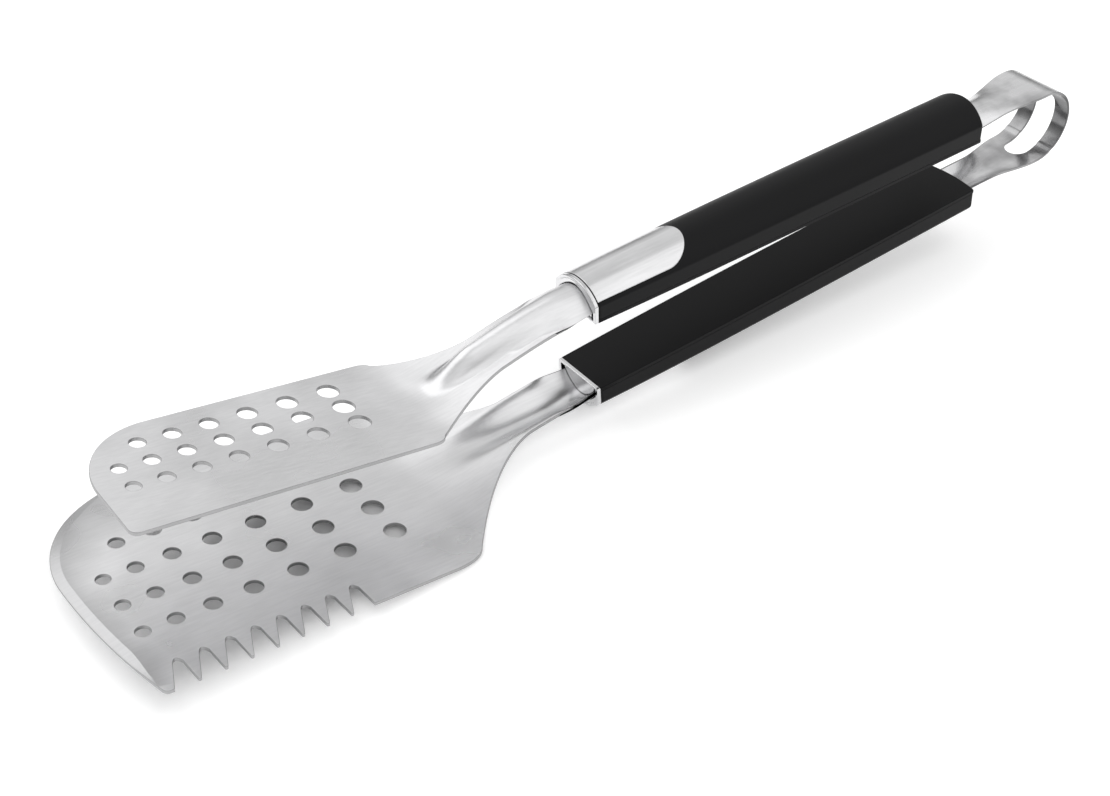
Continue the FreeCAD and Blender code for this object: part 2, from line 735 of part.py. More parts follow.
def make_cover(side):
    """Flat black inner cover, the whole length of the handle and as wide as the shell all along."""
    body = doc.addObject("PartDesign::Body", side + "_inner_cover")
    sketch = new_sketch(body, side + "_cover_plan", "XY_Plane")
    right = []
    for x, half, _, _ in grip_outlines():
        right.append((evaluated(x), -evaluated(half)))
    left = [(x, -y) for x, y in reversed(right)]
    corners = right + left
    count = len(corners)
    for number in range(count):
        first = corners[number]
        last = corners[(number + 1) % count]
        sketch.addGeometry(Part.LineSegment(vec(*first, 0), vec(*last, 0)))
    for number in range(count):
        sketch.addConstraint(Sketcher.Constraint("Coincident", number, 2, (number + 1) % count, 1))
    for place, (x, half, _, _) in enumerate(grip_outlines()):
        mirror = count - 1 - place
        sketch.addConstraint(Sketcher.Constraint("Symmetric", place, 1, mirror, 1, -1))
        number = sketch.addConstraint(Sketcher.Constraint("DistanceY", place, 1, mirror, 1, -2 * right[place][1]))
        bind(sketch, number, "width_%d" % place, "2 * (%s)" % half)
        if place:
            number = sketch.addConstraint(Sketcher.Constraint("DistanceX", -1, 1, place, 1, right[place][0]))
            bind(sketch, number, "place_%d" % place, x)
    sketch.addConstraint(Sketcher.Constraint("PointOnObject", 0, 1, -2))
    pad = body.newObject("PartDesign::Pad", side + "_cover_pad")
    pad.Profile = sketch
    pad.setExpression("Length", "Sizes.cover_thickness")
    doc.recompute()
    return body


def make_core(side):
    """Plastic bar that fills the front of the channel, up to where the spring strip starts."""
    bar = arched_prism(side + "_core_bar", CORE_HALF, "Sizes.cover_thickness", "Sizes.core_side",
                       CORE_CROWN, "Sizes.core_inset",
                       "Sizes.handle_length - Sizes.core_inset - Sizes.core_back")
    holes = []
    for number in range(2):
        x = "Sizes.screw_inset + %d * Sizes.screw_spacing" % number
        holes.append(bore("%s_pilot_%d" % (side, number), "Sizes.screw_radius + Sizes.joint_gap / 2",
                          x, ARM_TOP + " - Sizes.screw_depth - Sizes.joint_gap", CROWN))
    return combine("Cut", side + "_core", bar, bundle(side + "_pilots", holes))


def make_screws(side):
    """Two pan head screws that pull the core up into the arm's channel."""
    screws = []
    for number in range(2):
        x = "Sizes.screw_inset + %d * Sizes.screw_spacing" % number
        name = "%s_screw_%d" % (side, number)
        shank = bore(name + "_shank", "Sizes.screw_radius", x, ARM_TOP + " - Sizes.screw_depth", ARM_TOP)
        head = bore(name + "_head", "Sizes.screw_head_radius", x, ARM_TOP, ARM_TOP + " + Sizes.screw_head")
        screws.append(combine("Fuse", name, head, shank))
    return bundle(side + "_core_screws", screws)


def make_rivets(side):
    """Two rivets that join the spring's tail to the arm's channel."""
    rivets = []
    for number in range(2):
        x = CHANNEL_LENGTH + " - Sizes.rivet_inset - %d * Sizes.rivet_spacing" % number
        name = "%s_rivet_%d" % (side, number)
        shank = bore(name + "_shank", "Sizes.rivet_radius", x, RIVET_SEAT, ARM_TOP)
        outer = bore(name + "_outer_head", "Sizes.rivet_head_radius", x, ARM_TOP,
                     ARM_TOP + " + Sizes.rivet_head")
        inner = bore(name + "_inner_head", "Sizes.rivet_head_radius", x,
                     RIVET_SEAT + " - Sizes.rivet_head", RIVET_SEAT)
        rivets.append(combine("Fuse", name, combine("Fuse", name + "_open", outer, shank), inner))
    return bundle(side + "_spring_rivets", rivets)


def make_end_plate(side):
    """Crescent plate that closes the cap between the flat inner face and the arm's channel."""
    gap = size("joint_gap")
    arch = handle_arch()
    walls = [vec(0, y, z) for y, z in arch.poles(-3 * gap)]
    floor = size("cap_wall") + gap
    curve = Part.BezierCurve()
    curve.setPoles(walls)
    left = vec(0, walls[0].y, floor)
    right = vec(0, walls[2].y, floor)
    edges = [curve.toShape(), Part.makeLine(walls[2], right), Part.makeLine(right, left),
             Part.makeLine(left, walls[0])]
    face = Part.Face(Part.Wire(Part.__sortEdges__(edges)))
    plate = doc.addObject("Part::Feature", side + "_end_plate")
    plate.Shape = face.extrude(vec(size("end_plate_thickness"), 0, 0))
    return plate, shift(size("end_plate_recess") - size("cap_lip"), 0, 0)


# ---------------------------------------------------------------- assembly
def handle_set(side):
    """Every piece that is placed with one handle, with the place it has in the handle's axes."""
    here = FreeCAD.Placement()
    plate, plate_place = make_end_plate(side)
    return [
        (make_arm(side), here),
        (make_cap(side), here),
        (plate, plate_place),
        (make_shell(side), here),
        (make_cover(side), here),
        (make_core(side), here),
        (make_screws(side), here),
        (make_rivets(side), here),
    ]


pieces = []
for side in ("lower", "upper"):
    for piece, place in handle_set(side):
        pieces.append((piece, in_middle_frame(side) * place))
pieces.append((make_spring(), FreeCAD.Placement()))
doc.recompute()

tilt = turn_y(-rest_tilt())
whole = Part.makeCompound([piece.Shape.transformed((tilt * place).toMatrix(), True)
                           for piece, place in pieces])
box = whole.optimalBoundingBox(False)
stand = shift(-(box.XMin + box.XMax) / 2, -(box.YMin + box.YMax) / 2, -box.ZMin)
for piece, place in pieces:
    piece.Label = piece.Name
    piece.Placement = stand * tilt * place
doc.recompute()

for thing in doc.Objects:
    if "Invalid" in thing.State or "Error" in thing.State:
        raise RuntimeError("failed object: " + thing.Name)
os.makedirs("parts", exist_ok=True)
for piece, _ in pieces:
    shape = piece.Shape
    if shape.isNull() or not shape.isValid():
        raise RuntimeError("bad shape: " + piece.Label)
    shape.exportStep("parts/" + piece.Label + ".step")
    limits = shape.optimalBoundingBox(False)
    print("%-22s %2d solids %10.1f mm3  x %7.1f %7.1f  y %6.1f %6.1f  z %6.1f %6.1f" % (
        piece.Label, len(shape.Solids), shape.Volume, limits.XMin, limits.XMax,
        limits.YMin, limits.YMax, limits.ZMin, limits.ZMax))

hinge = stand * tilt
print("hinge axis", hinge.multVec(vec(evaluated(LOOP_REACH), 0, size("loop_lift"))))
print("rest tilt", rest_tilt())
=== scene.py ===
# Looks of the spring tongs: stamped steel heads and necks, steel caps, black grips and a bent spring strip.
# Shapes are worked out in millimetres in one handle's own axes: x towards the loop, z outwards, and z = 0 on
# its flat face.
import bpy
import json
import math
import numpy as np
from mathutils.geometry import delaunay_2d_cdt
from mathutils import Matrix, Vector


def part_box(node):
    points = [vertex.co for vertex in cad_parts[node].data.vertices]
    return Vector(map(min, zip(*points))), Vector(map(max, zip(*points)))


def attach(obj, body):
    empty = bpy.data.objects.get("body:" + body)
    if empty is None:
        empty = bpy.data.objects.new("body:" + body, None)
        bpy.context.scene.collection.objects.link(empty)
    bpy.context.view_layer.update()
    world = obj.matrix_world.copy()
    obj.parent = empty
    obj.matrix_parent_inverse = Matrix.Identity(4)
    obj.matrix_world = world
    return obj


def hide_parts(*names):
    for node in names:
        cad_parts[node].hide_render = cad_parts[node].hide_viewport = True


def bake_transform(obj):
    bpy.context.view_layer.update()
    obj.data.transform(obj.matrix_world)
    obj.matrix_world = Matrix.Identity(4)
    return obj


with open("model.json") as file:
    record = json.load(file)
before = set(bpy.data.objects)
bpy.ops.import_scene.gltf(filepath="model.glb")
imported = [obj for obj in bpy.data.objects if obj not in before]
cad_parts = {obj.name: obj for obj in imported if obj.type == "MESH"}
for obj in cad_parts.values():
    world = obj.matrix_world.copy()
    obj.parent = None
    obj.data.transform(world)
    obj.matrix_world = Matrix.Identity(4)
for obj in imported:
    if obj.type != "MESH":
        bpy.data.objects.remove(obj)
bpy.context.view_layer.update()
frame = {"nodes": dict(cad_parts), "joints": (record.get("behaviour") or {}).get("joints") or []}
print("frame loaded")

# How the two handles stand to each other
posture = {
    "splay": 1.07,        # degrees that each handle leans towards the other at the loop
    "gap": 29.5,          # between the flat faces at the handles' front
    "tilt": 3.0156,       # how the whole object leans when it rests on its lower head and lower cap
    "bendX": 232.2,       # middle of the spring bend
    "bendZ": 1.2,
}
hinge = np.array(frame["joints"][0]["pos_m"])
sides = ("lower", "upper")


def turned(points, degrees):
    # rotation about Y: x and z mix, y stays
    angle = math.radians(degrees)
    x, y, z = points[..., 0], points[..., 1], points[..., 2]
    return np.stack([x * math.cos(angle) + z * math.sin(angle), y,
                     z * math.cos(angle) - x * math.sin(angle)], axis=-1)


def fromMiddle(points):
    # the frame half way between the handles to the object's own frame, millimetres to metres
    centre = np.array([posture["bendX"], 0, posture["bendZ"]])
    return hinge + turned(points - centre, -posture["tilt"]) / 1000


def toMiddle(points, side):
    # handle axes to the frame half way between the handles; the lower handle is turned over
    half = np.array([0, 0, posture["gap"] / 2])
    if side == "upper":
        return turned(points, posture["splay"]) + half
    return turned(points * np.array([1, -1, -1]), -posture["splay"]) - half


def fromHandle(points, side):
    # handle axes to the object's own frame
    return fromMiddle(toMiddle(points, side))


# Number helpers
def smoothStep(x, start, end):
    # 0 before start, 1 after end, an S curve between
    t = np.clip((x - start) / (end - start), 0, 1)
    return t * t * (3 - 2 * t)


def softRamp(x, radius):
    # 0 before -radius, x after radius, and a parabola that joins both
    return np.where(x < -radius, 0, np.where(x > radius, x, (x + radius) ** 2 / (4 * radius)))


def arcPoints(centre, radius, start, end, count):
    # points on a circle from one angle to another, in degrees
    angle = np.radians(np.linspace(start, end, count))
    return np.stack([centre[0] + radius * np.cos(angle), centre[1] + radius * np.sin(angle)], axis=1)


def curveThrough(first, middle, last, count):
    # a smooth curve through three points: the parabola that passes the middle one half way
    t = np.linspace(0, 1, count)[:, None]
    first, middle, last = (np.array(point, float) for point in (first, middle, last))
    bend = 2 * middle - (first + last) / 2
    return (1 - t) ** 2 * first + 2 * t * (1 - t) * bend + t * t * last


def loopOf(*runs):
    # joins runs of points into one closed loop and drops the points that repeat
    points = np.concatenate([np.atleast_2d(np.array(run, float)) for run in runs])
    step = np.linalg.norm(points - np.roll(points, 1, axis=0), axis=1)
    return points[step > 0.02]


def evenly(loop, spacing):
    # adds points on the loop's long runs so that no step is longer than spacing
    following = np.roll(loop, -1, axis=0)
    parts = np.maximum(1, np.ceil(np.linalg.norm(following - loop, axis=1) / spacing).astype(int))
    start = np.repeat(loop, parts, axis=0)
    step = np.repeat((following - loop) / parts[:, None], parts, axis=0)
    number = np.arange(len(start)) - np.repeat(np.cumsum(parts) - parts, parts)
    return start + step * number[:, None]


def signedArea(loop):
    # half the sum of the cross products of following points: positive where the loop runs counterclockwise
    x, y = loop[:, 0], loop[:, 1]
    return 0.5 * np.sum(x * np.roll(y, -1) - y * np.roll(x, -1))


def mitres(loop):
    # the way outwards at each point of a loop, longer at a corner so that both sides move alike
    edge = np.roll(loop, -1, axis=0) - loop
    edge = edge / np.linalg.norm(edge, axis=1)[:, None]
    outward = np.stack([edge[:, 1], -edge[:, 0]], axis=1)
    before = np.roll(outward, 1, axis=0)
    share = 1 + np.sum(outward * before, axis=1)
    return (outward + before) / np.maximum(share, 0.45)[:, None]


def nearest(points, curve):
    # distance from each point to the nearest point of a curve
    return np.concatenate([np.min(np.linalg.norm(part[:, None] - curve[None], axis=2), axis=1)
                           for part in np.array_split(points, max(1, len(points) // 500))])


def withinLoop(points, loop):
    # true where a ray to the right of the point crosses the loop an odd number of times
    x, y = points[:, 0, None], points[:, 1, None]
    ax, ay = loop[:, 0], loop[:, 1]
    bx, by = np.roll(ax, -1), np.roll(ay, -1)
    height = np.where(by == ay, 1e-12, by - ay)
    crosses = ((ay > y) != (by > y)) & (x < ax + (y - ay) * (bx - ax) / height)
    return np.sum(crosses, axis=1) % 2 == 1


# Mesh makers
def addMesh(name, points, faces, normals):
    # closed surface with a normal given for each corner of each face; turned right side out by its volume
    corners = points[faces]
    if np.sum(corners[:, 0] * np.cross(corners[:, 1], corners[:, 2])) < 0:
        faces, normals = faces[:, ::-1], normals[:, ::-1]
    mesh = bpy.data.meshes.new(name)
    mesh.from_pydata(points.tolist(), [], faces.tolist())
    mesh.polygons.foreach_set("use_smooth", np.ones(len(faces), bool))
    mesh.normals_split_custom_set(normals.reshape(-1, 3).tolist())
    piece = bpy.data.objects.new(name, mesh)
    bpy.context.scene.collection.objects.link(piece)
    return piece


def unit(vectors):
    # each vector divided by its own length
    return vectors / np.maximum(np.linalg.norm(vectors, axis=-1), 1e-20)[..., None]


def faceNormals(points, faces):
    # the turn of each face, as long as twice its area
    corners = points[faces]
    return np.cross(corners[:, 1] - corners[:, 0], corners[:, 2] - corners[:, 0])


def averaged(points, faces):
    # normals of the vertices, averaged over these faces by area
    turn = np.repeat(faceNormals(points, faces), 3, axis=0)
    total = [np.bincount(faces.ravel(), turn[:, axis], len(points)) for axis in range(3)]
    return unit(np.stack(total, axis=1))


def sheetNormals(shape, plan, depth):
    # across the sheet: two small steps on the plan give the face's normal, turned the way depth grows
    step = 0.02
    along = shape(plan + [step, 0], depth) - shape(plan - [step, 0], depth)
    across = shape(plan + [0, step], depth) - shape(plan - [0, step], depth)
    normal = unit(np.cross(along, across))
    deeper = shape(plan, depth + step) - shape(plan, depth - step)
    return normal * np.sign(np.sum(normal * deeper, axis=1))[:, None]


def cutSheet(name, outline, holes, gauge, rim, lift, inside=(), crease=(), bevelBand=None, plainLift=None):
    # A sheet cut to a plan. Its rim is a quarter circle, a flat and a quarter circle carried along each loop.
    # lift(plan, depth) puts plan points into space; depth runs from 0 at one face to the gauge at the other.
    loops = [outline if signedArea(outline) > 0 else outline[::-1]]
    loops += [hole if signedArea(hole) < 0 else hole[::-1] for hole in holes]
    angle = np.radians(np.linspace(0, 90, 4))
    inset = rim * (1 - np.sin(angle))
    depth = rim * (1 - np.cos(angle))
    inset = np.concatenate([inset, inset[::-1]])[1:-1]
    depth = np.concatenate([depth, gauge - depth[::-1]])[1:-1]
    lean = np.concatenate([angle, math.pi - angle[::-1]])[1:-1]
    plan = np.concatenate(loops)
    outward = np.concatenate([mitres(loop) for loop in loops])
    ends = np.cumsum([len(loop) for loop in loops])
    following = np.arange(len(plan)) + 1
    following[ends - 1] = np.concatenate([[0], ends[:-1]])
    edges = np.stack([np.arange(len(plan)), following], axis=1)
    flat = plan - outward * rim
    if len(inside):
        flat = np.concatenate([flat, inside])
    if len(crease):
        number = len(flat) + np.arange(len(crease) - 1)
        edges = np.concatenate([edges, np.stack([number, number + 1], axis=1)])
        flat = np.concatenate([flat, crease])
    made = delaunay_2d_cdt([tuple(point) for point in flat.tolist()], edges.tolist(), [], 2, 1e-7)
    origin = np.array([source[0] for source in made[3]])
    face = origin[np.array(made[2])]
    a, b, c = flat[face[:, 0]], flat[face[:, 1]], flat[face[:, 2]]
    turn = (b[:, 0] - a[:, 0]) * (c[:, 1] - a[:, 1]) - (b[:, 1] - a[:, 1]) * (c[:, 0] - a[:, 0])
    face = np.where((turn < 0)[:, None], face[:, ::-1], face)
    middle = flat[face].mean(axis=1)
    for first, last in zip(ends[:-1], ends[1:]):
        away = ~withinLoop(middle, flat[first:last])
        face, middle = face[away], middle[away]

    # points: one face, the other face, then the rows of the rim between them
    count, around = len(flat), len(plan)
    wallPlan = (plan[None] - outward[None] * inset[:, None, None]).reshape(-1, 2)
    wallDepth = np.repeat(depth, around)
    points = lift(np.concatenate([flat, flat, wallPlan]),
                  np.concatenate([np.zeros(count), np.full(count, gauge), wallDepth]))
    shape = plainLift or lift
    step = unit(np.tile(outward, (len(inset), 1))) * 0.02
    sideways = unit(shape(wallPlan + step, wallDepth) - shape(wallPlan - step, wallDepth))
    deeper = sheetNormals(shape, wallPlan, wallDepth)
    wallLean = np.repeat(lean, around)[:, None]
    normals = np.concatenate([-sheetNormals(shape, flat, np.full(count, 0.05)),
                              sheetNormals(shape, flat, np.full(count, gauge - 0.05)),
                              unit(sideways * np.sin(wallLean) - deeper * np.cos(wallLean))])
    number = np.arange(around)
    rows = np.concatenate([number[None], 2 * count + number + around * np.arange(len(inset))[:, None],
                           count + number[None]])
    ahead = rows[:, following]
    wallA = np.stack([rows[:-1], ahead[:-1], ahead[1:]], axis=-1).reshape(-1, 3)
    wallB = np.stack([rows[:-1], ahead[1:], rows[1:]], axis=-1).reshape(-1, 3)
    faces = np.concatenate([face[:, ::-1], face + count, wallA, wallB])
    cornerNormals = normals[faces]
    # the cut edge is marked, 0 on the two faces and 1 between them, for its duller tone, partly its own
    # finish and partly painted shade
    mark = np.concatenate([np.zeros(2 * count), np.ones(len(wallPlan))])
    if bevelBand is not None:
        band = np.flatnonzero(withinLoop(middle, bevelBand))
        bandNormals = averaged(points, faces[band])
        bandNormals *= np.sign(np.sum(bandNormals * normals, axis=1))[:, None]
        cornerNormals[band] = bandNormals[faces[band]]
        mark[faces[band]] = 0.6     # the ground bevel is less bright than the polished face, partly its own finish and partly painted shade
    piece = addMesh(name, points, faces, cornerNormals)
    cutEdge = piece.data.attributes.new("cutEdge", "FLOAT", "POINT")
    cutEdge.data.foreach_set("value", mark)
    return piece


def carried(name, rings):
    # rings of points one after another, joined by faces, with a point that closes each end
    count, size = rings.shape[:2]
    number = np.arange(count * size).reshape(count, size)
    ahead = np.roll(number, -1, axis=1)
    sideA = np.stack([number[:-1], ahead[:-1], ahead[1:]], axis=-1).reshape(-1, 3)
    sideB = np.stack([number[:-1], ahead[1:], number[1:]], axis=-1).reshape(-1, 3)
    first, last = count * size, count * size + 1
    startFan = np.stack([ahead[0], number[0], np.full(size, first)], axis=-1)
    endFan = np.stack([number[-1], ahead[-1], np.full(size, last)], axis=-1)
    points = np.concatenate([rings.reshape(-1, 3), rings[0].mean(axis=0)[None], rings[-1].mean(axis=0)[None]])
    faces = np.concatenate([sideA, sideB, startFan, endFan])
    outside = np.sum(points[faces[:, 0]] * faceNormals(points, faces)) > 0
    return addMesh(name, points, faces, (averaged(points, faces) * (1 if outside else -1))[faces])


# Colours and materials
def linear(hexColour):
    # an sRGB hex value to the linear colour that the shader needs
    parts = [int(hexColour[n:n + 2], 16) / 255 for n in (0, 2, 4)]
    return [p / 12.92 if p <= 0.04045 else ((p + 0.055) / 1.055) ** 2.4 for p in parts] + [1.0]


def addNode(tree, kind, settings=None, links=None):
    # settings name a property or an input socket; links give the output that feeds an input
    node = tree.nodes.new(kind)
    for key, value in (settings or {}).items():
        if isinstance(key, str) and hasattr(node, key):
            setattr(node, key, value)
        else:
            node.inputs[key].default_value = value
    for key, output in (links or {}).items():
        tree.links.new(output, node.inputs[key])
    return node


def newMaterial(name):
    # an empty node material
    material = bpy.data.materials.new(name)
    material.use_nodes = True
    material.node_tree.nodes.clear()
    return material, material.node_tree


def ramp(tree, factor, stops):
    # a colour ramp from a list of position and grey value
    node = addNode(tree, "ShaderNodeValToRGB", links={"Fac": factor})
    while len(node.color_ramp.elements) < len(stops):
        node.color_ramp.elements.new(0.5)
    for element, (position, grey) in zip(node.color_ramp.elements, stops):
        element.position = position
        element.color = (grey, grey, grey, 1)
    return node.outputs["Color"]


satinSteel = {
    "colour": "e6e6e7",
    "cloudMm": 38,       # width of the soft clouds that polishing leaves
    "lineMm": 0.9,       # brush lines, drawn about three times as coarse as real ones so that they show
    "lineStretch": 0.03,
    "roughLow": 0.24,
    "roughHigh": 0.40,
    "bumpMm": 0.02,
    "dark": 0.84,        # how far the clouds darken the tone
    "bendShadeFrom": 0.30,    # metres along X where painted shade starts to darken a bend; past the object means nowhere
    "bendShadeTo": 0.31,      # and where that painted shade is as dark as it gets
    "bendShadeDark": 1.0,     # tone of that painted shade at the bend
    "edgeToneAndShade": 0.52,    # tone of the stamped edge: partly its own finish, which no polishing reaches, and partly painted shade
}


def makeSatinSteel(name, look):
    # 304 stainless sheet, stamped and satin brushed: pale, soft reflections drawn out along the brush lines
    material, tree = newMaterial(name)
    place = addNode(tree, "ShaderNodeTexCoord").outputs["Object"]
    along = addNode(tree, "ShaderNodeMapping", {"Scale": (look["lineStretch"], 1, 1)}, {"Vector": place})
    lines = addNode(tree, "ShaderNodeTexNoise", {"Scale": 1000 / look["lineMm"], "Detail": 3.0},
                    {"Vector": along.outputs[0]})
    clouds = addNode(tree, "ShaderNodeTexNoise",
                     {"Scale": 1000 / look["cloudMm"], "Detail": 2.5, "Roughness": 0.55}, {"Vector": place})
    tone = addNode(tree, "ShaderNodeMix",
                   {"data_type": "RGBA", "blend_type": "MULTIPLY", 0: 1.0, 6: linear(look["colour"])},
                   {7: ramp(tree, clouds.outputs["Fac"], [(0.34, look["dark"]), (0.62, 1.0)])})
    streaks = addNode(tree, "ShaderNodeMix", {"data_type": "RGBA", "blend_type": "MULTIPLY", 0: 1.0},
                      {6: tone.outputs[2], 7: ramp(tree, lines.outputs["Fac"], [(0.3, 0.93), (0.7, 1.0)])})
    # painted shade: the tone darkens along X over a bend, between bendShadeFrom and bendShadeTo
    reach = addNode(tree, "ShaderNodeSeparateXYZ", links={0: place}).outputs["X"]
    bendShade = addNode(tree, "ShaderNodeMapRange",
                   {"From Min": look["bendShadeFrom"], "From Max": look["bendShadeTo"], "To Min": 1.0,
                    "To Max": look["bendShadeDark"]}, {"Value": reach})
    # the cut edge and the ground bevel are darker, partly for their own finish and partly as painted shade
    cut = addNode(tree, "ShaderNodeAttribute", {"attribute_name": "cutEdge"}).outputs["Fac"]
    edge = addNode(tree, "ShaderNodeMapRange", {"To Min": 1.0, "To Max": look["edgeToneAndShade"]}, {"Value": cut})
    # the painted shade of the bend and the darker tone of the cut edge, together
    shadeAndEdgeTone = addNode(tree, "ShaderNodeMath", {"operation": "MULTIPLY"},
                   {0: bendShade.outputs[0], 1: edge.outputs[0]})
    shadedTone = addNode(tree, "ShaderNodeMix", {"data_type": "RGBA", "blend_type": "MULTIPLY", 0: 1.0},
                     {6: streaks.outputs[2], 7: shadeAndEdgeTone.outputs[0]})
    rough = addNode(tree, "ShaderNodeMapRange",
                    {"From Min": 0.35, "From Max": 0.65, "To Min": look["roughLow"],
                     "To Max": look["roughHigh"]}, {"Value": clouds.outputs["Fac"]})
    bump = addNode(tree, "ShaderNodeBump", {"Strength": 0.25, "Distance": look["bumpMm"] / 1000},
                   {"Height": lines.outputs["Fac"]})
    shader = addNode(tree, "ShaderNodeBsdfPrincipled", {"Metallic": 1.0, "Anisotropic": 0.3},
                     {"Base Color": shadedTone.outputs[2], "Roughness": rough.outputs[0],
                      "Normal": bump.outputs[0]})
    addNode(tree, "ShaderNodeOutputMaterial", links={"Surface": shader.outputs[0]})
    return material


softTouch = {
    "colour": "151516",
    "rough": 0.44,
    "specular": 0.13,    # a dull grained black throws back little
    "grainMm": 0.35,
    "grainDeepMm": 0.03,
    "rubMm": 45,         # width of the patches that hands have rubbed
}


def makeNylon(name, look):
    # soft-touch coated nylon: near black, a broad dull sheen and a very fine grain
    material, tree = newMaterial(name)
    place = addNode(tree, "ShaderNodeTexCoord").outputs["Object"]
    grain = addNode(tree, "ShaderNodeTexNoise", {"Scale": 1000 / look["grainMm"], "Detail": 2.0},
                    {"Vector": place})
    rub = addNode(tree, "ShaderNodeTexNoise", {"Scale": 1000 / look["rubMm"], "Detail": 3.0},
                  {"Vector": place})
    tone = addNode(tree, "ShaderNodeMix",
                   {"data_type": "RGBA", "blend_type": "MULTIPLY", 0: 1.0, 6: linear(look["colour"])},
                   {7: ramp(tree, rub.outputs["Fac"], [(0.3, 0.86), (0.7, 1.0)])})
    rough = addNode(tree, "ShaderNodeMapRange",
                    {"To Min": look["rough"] - 0.05, "To Max": look["rough"] + 0.06},
                    {"Value": rub.outputs["Fac"]})
    bump = addNode(tree, "ShaderNodeBump", {"Strength": 0.2, "Distance": look["grainDeepMm"] / 1000},
                   {"Height": grain.outputs["Fac"]})
    shader = addNode(tree, "ShaderNodeBsdfPrincipled", {"IOR": 1.46, "Specular IOR Level": look["specular"]},
                     {"Base Color": tone.outputs[2], "Roughness": rough.outputs[0],
                      "Normal": bump.outputs[0]})
    addNode(tree, "ShaderNodeOutputMaterial", links={"Surface": shader.outputs[0]})
    return material


polishedSteel = dict(satinSteel, colour="e2e2e3", cloudMm=24, roughLow=0.16, roughHigh=0.26, dark=0.92,
                     bumpMm=0.01, edgeToneAndShade=1.0)
# the spring strip gets painted shade over its bend, between 0.206 and 0.218 m along X
springSteel = dict(satinSteel, colour="dededf", cloudMm=15, roughLow=0.16, roughHigh=0.28, dark=0.55,
                   bendShadeFrom=0.206, bendShadeTo=0.218, bendShadeDark=0.42)
fastenerSteel = dict(satinSteel, colour="bdbdbc", cloudMm=8, roughLow=0.30, roughHigh=0.42)
satin = makeSatinSteel("satin_stainless_sheet", satinSteel)
polished = makeSatinSteel("polished_stainless_cap", polishedSteel)
spring = makeSatinSteel("spring_stainless_strip", springSteel)
fastener = makeSatinSteel("plain_stainless_fastener", fastenerSteel)
gripBlack = makeNylon("soft_touch_black_nylon", softTouch)
corePlastic = makeNylon("moulded_black_nylon", dict(softTouch, colour="232324", rough=0.55, grainMm=0.8))
print("materials made")


def finish(piece, material, slot, body, *nodes):
    # gives a piece its material and its body, and hides the construction nodes that it stands for
    piece.data.materials.append(material)
    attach(piece, body)
    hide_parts(*nodes)


# Arms: channel in the handle, flared neck, crease and perforated head, all one stamping
armSheet = {"gauge": 1.4, "rim": 0.22, "channelEnd": -152.0, "half": 8.85, "rise": 5.9, "base": 3.0,
            "neckHalf": 10.3, "neckRise": 6.9, "neckBase": 2.6, "bendRadius": 4.0, "flarePower": 1.65,
            "gridFrom": -22.0, "gridPast": 9.0, "spacing": 1.7,
            # distances in front of the handle over which the channel widens, its ridge narrows and
            # leaves flat rims, and its base starts to drop
            "widening": (0, 14), "narrowing": (4, 50), "cresting": (3, 20), "dropStart": 8}
armForm = {
    "lower": {"reach": 75.0, "drop": 6.5, "bend": -9.4, "rootHalf": 43.2, "flareStart": 30.0,
              "riseEnd": (10.5, 75.0), "ridgeHalf": 9.6, "length": 124.2, "half": 48.0},
    "upper": {"reach": 73.0, "drop": -5.8, "bend": 11.7, "rootHalf": 23.3, "flareStart": 39.5,
              "riseEnd": (46.0, 67.0), "ridgeHalf": 5.6, "length": 111.2, "half": 25.5,
              "corners": (28.0, 3.0)},
}
holePattern = {
    "lower": {"inset": 13.1, "step": 11.1, "growth": 1.63, "pitch": 14.0, "rows": 4, "middle": 0.0,
              "skip": 0},
    "upper": {"inset": 10.6, "step": 10.9, "growth": 0.94, "pitch": 10.06, "rows": 3, "middle": 5.67,
              "skip": 2},
}
holeSize = {"first": 5.0, "last": 7.6, "columns": 7}
fastening = {"screws": (-22.0, -92.0), "screwHole": 1.4, "rivets": (-128.0, -143.0), "rivetHole": 1.7}


def rimHalf(form, d):
    # half width of the sheet at a distance in front of the handle, out to the crease
    entry = smoothStep(d, *armSheet["widening"])
    half = armSheet["half"] + (armSheet["neckHalf"] - armSheet["half"]) * entry
    flare = np.maximum(0, (d - form["flareStart"]) / (form["reach"] - form["flareStart"]))
    flare = flare ** armSheet["flarePower"]
    return half + (form["rootHalf"] - half) * np.minimum(flare, 1)


def armFace(form, plan):
    # The inner face of the sheet: an arch across the channel that becomes a narrowing ridge between two flat
    # rims and dies before the crease, a rim line that drops to the crease, then the head's plane past a
    # soft bend.
    d, y = plan[:, 0], plan[:, 1]
    half = rimHalf(form, np.minimum(d, form["reach"]))
    entry = smoothStep(d, *armSheet["widening"])
    rise = armSheet["rise"] + (armSheet["neckRise"] - armSheet["rise"]) * entry
    base = armSheet["base"] + (armSheet["neckBase"] - armSheet["base"]) * entry
    start, end = form["riseEnd"]
    rise = rise * (1 - smoothStep(d, start, end))
    arch = 1 - np.minimum((y / half) ** 2, 1)
    narrow = smoothStep(d, *armSheet["narrowing"])
    ridge = armSheet["neckHalf"] + (form["ridgeHalf"] - armSheet["neckHalf"]) * narrow
    crest = np.maximum(0, 1 - (y / ridge) ** 2) ** 2
    arch = arch + (crest - arch) * smoothStep(d, *armSheet["cresting"])
    base = base + (form["drop"] - base) * smoothStep(d, armSheet["dropStart"], form["reach"])
    beyond = softRamp(d - form["reach"], armSheet["bendRadius"])
    turn = math.radians(form["bend"])
    x = -d + (1 - math.cos(turn)) * beyond
    return np.stack([x, y, base + rise * arch + math.sin(turn) * beyond], axis=1)


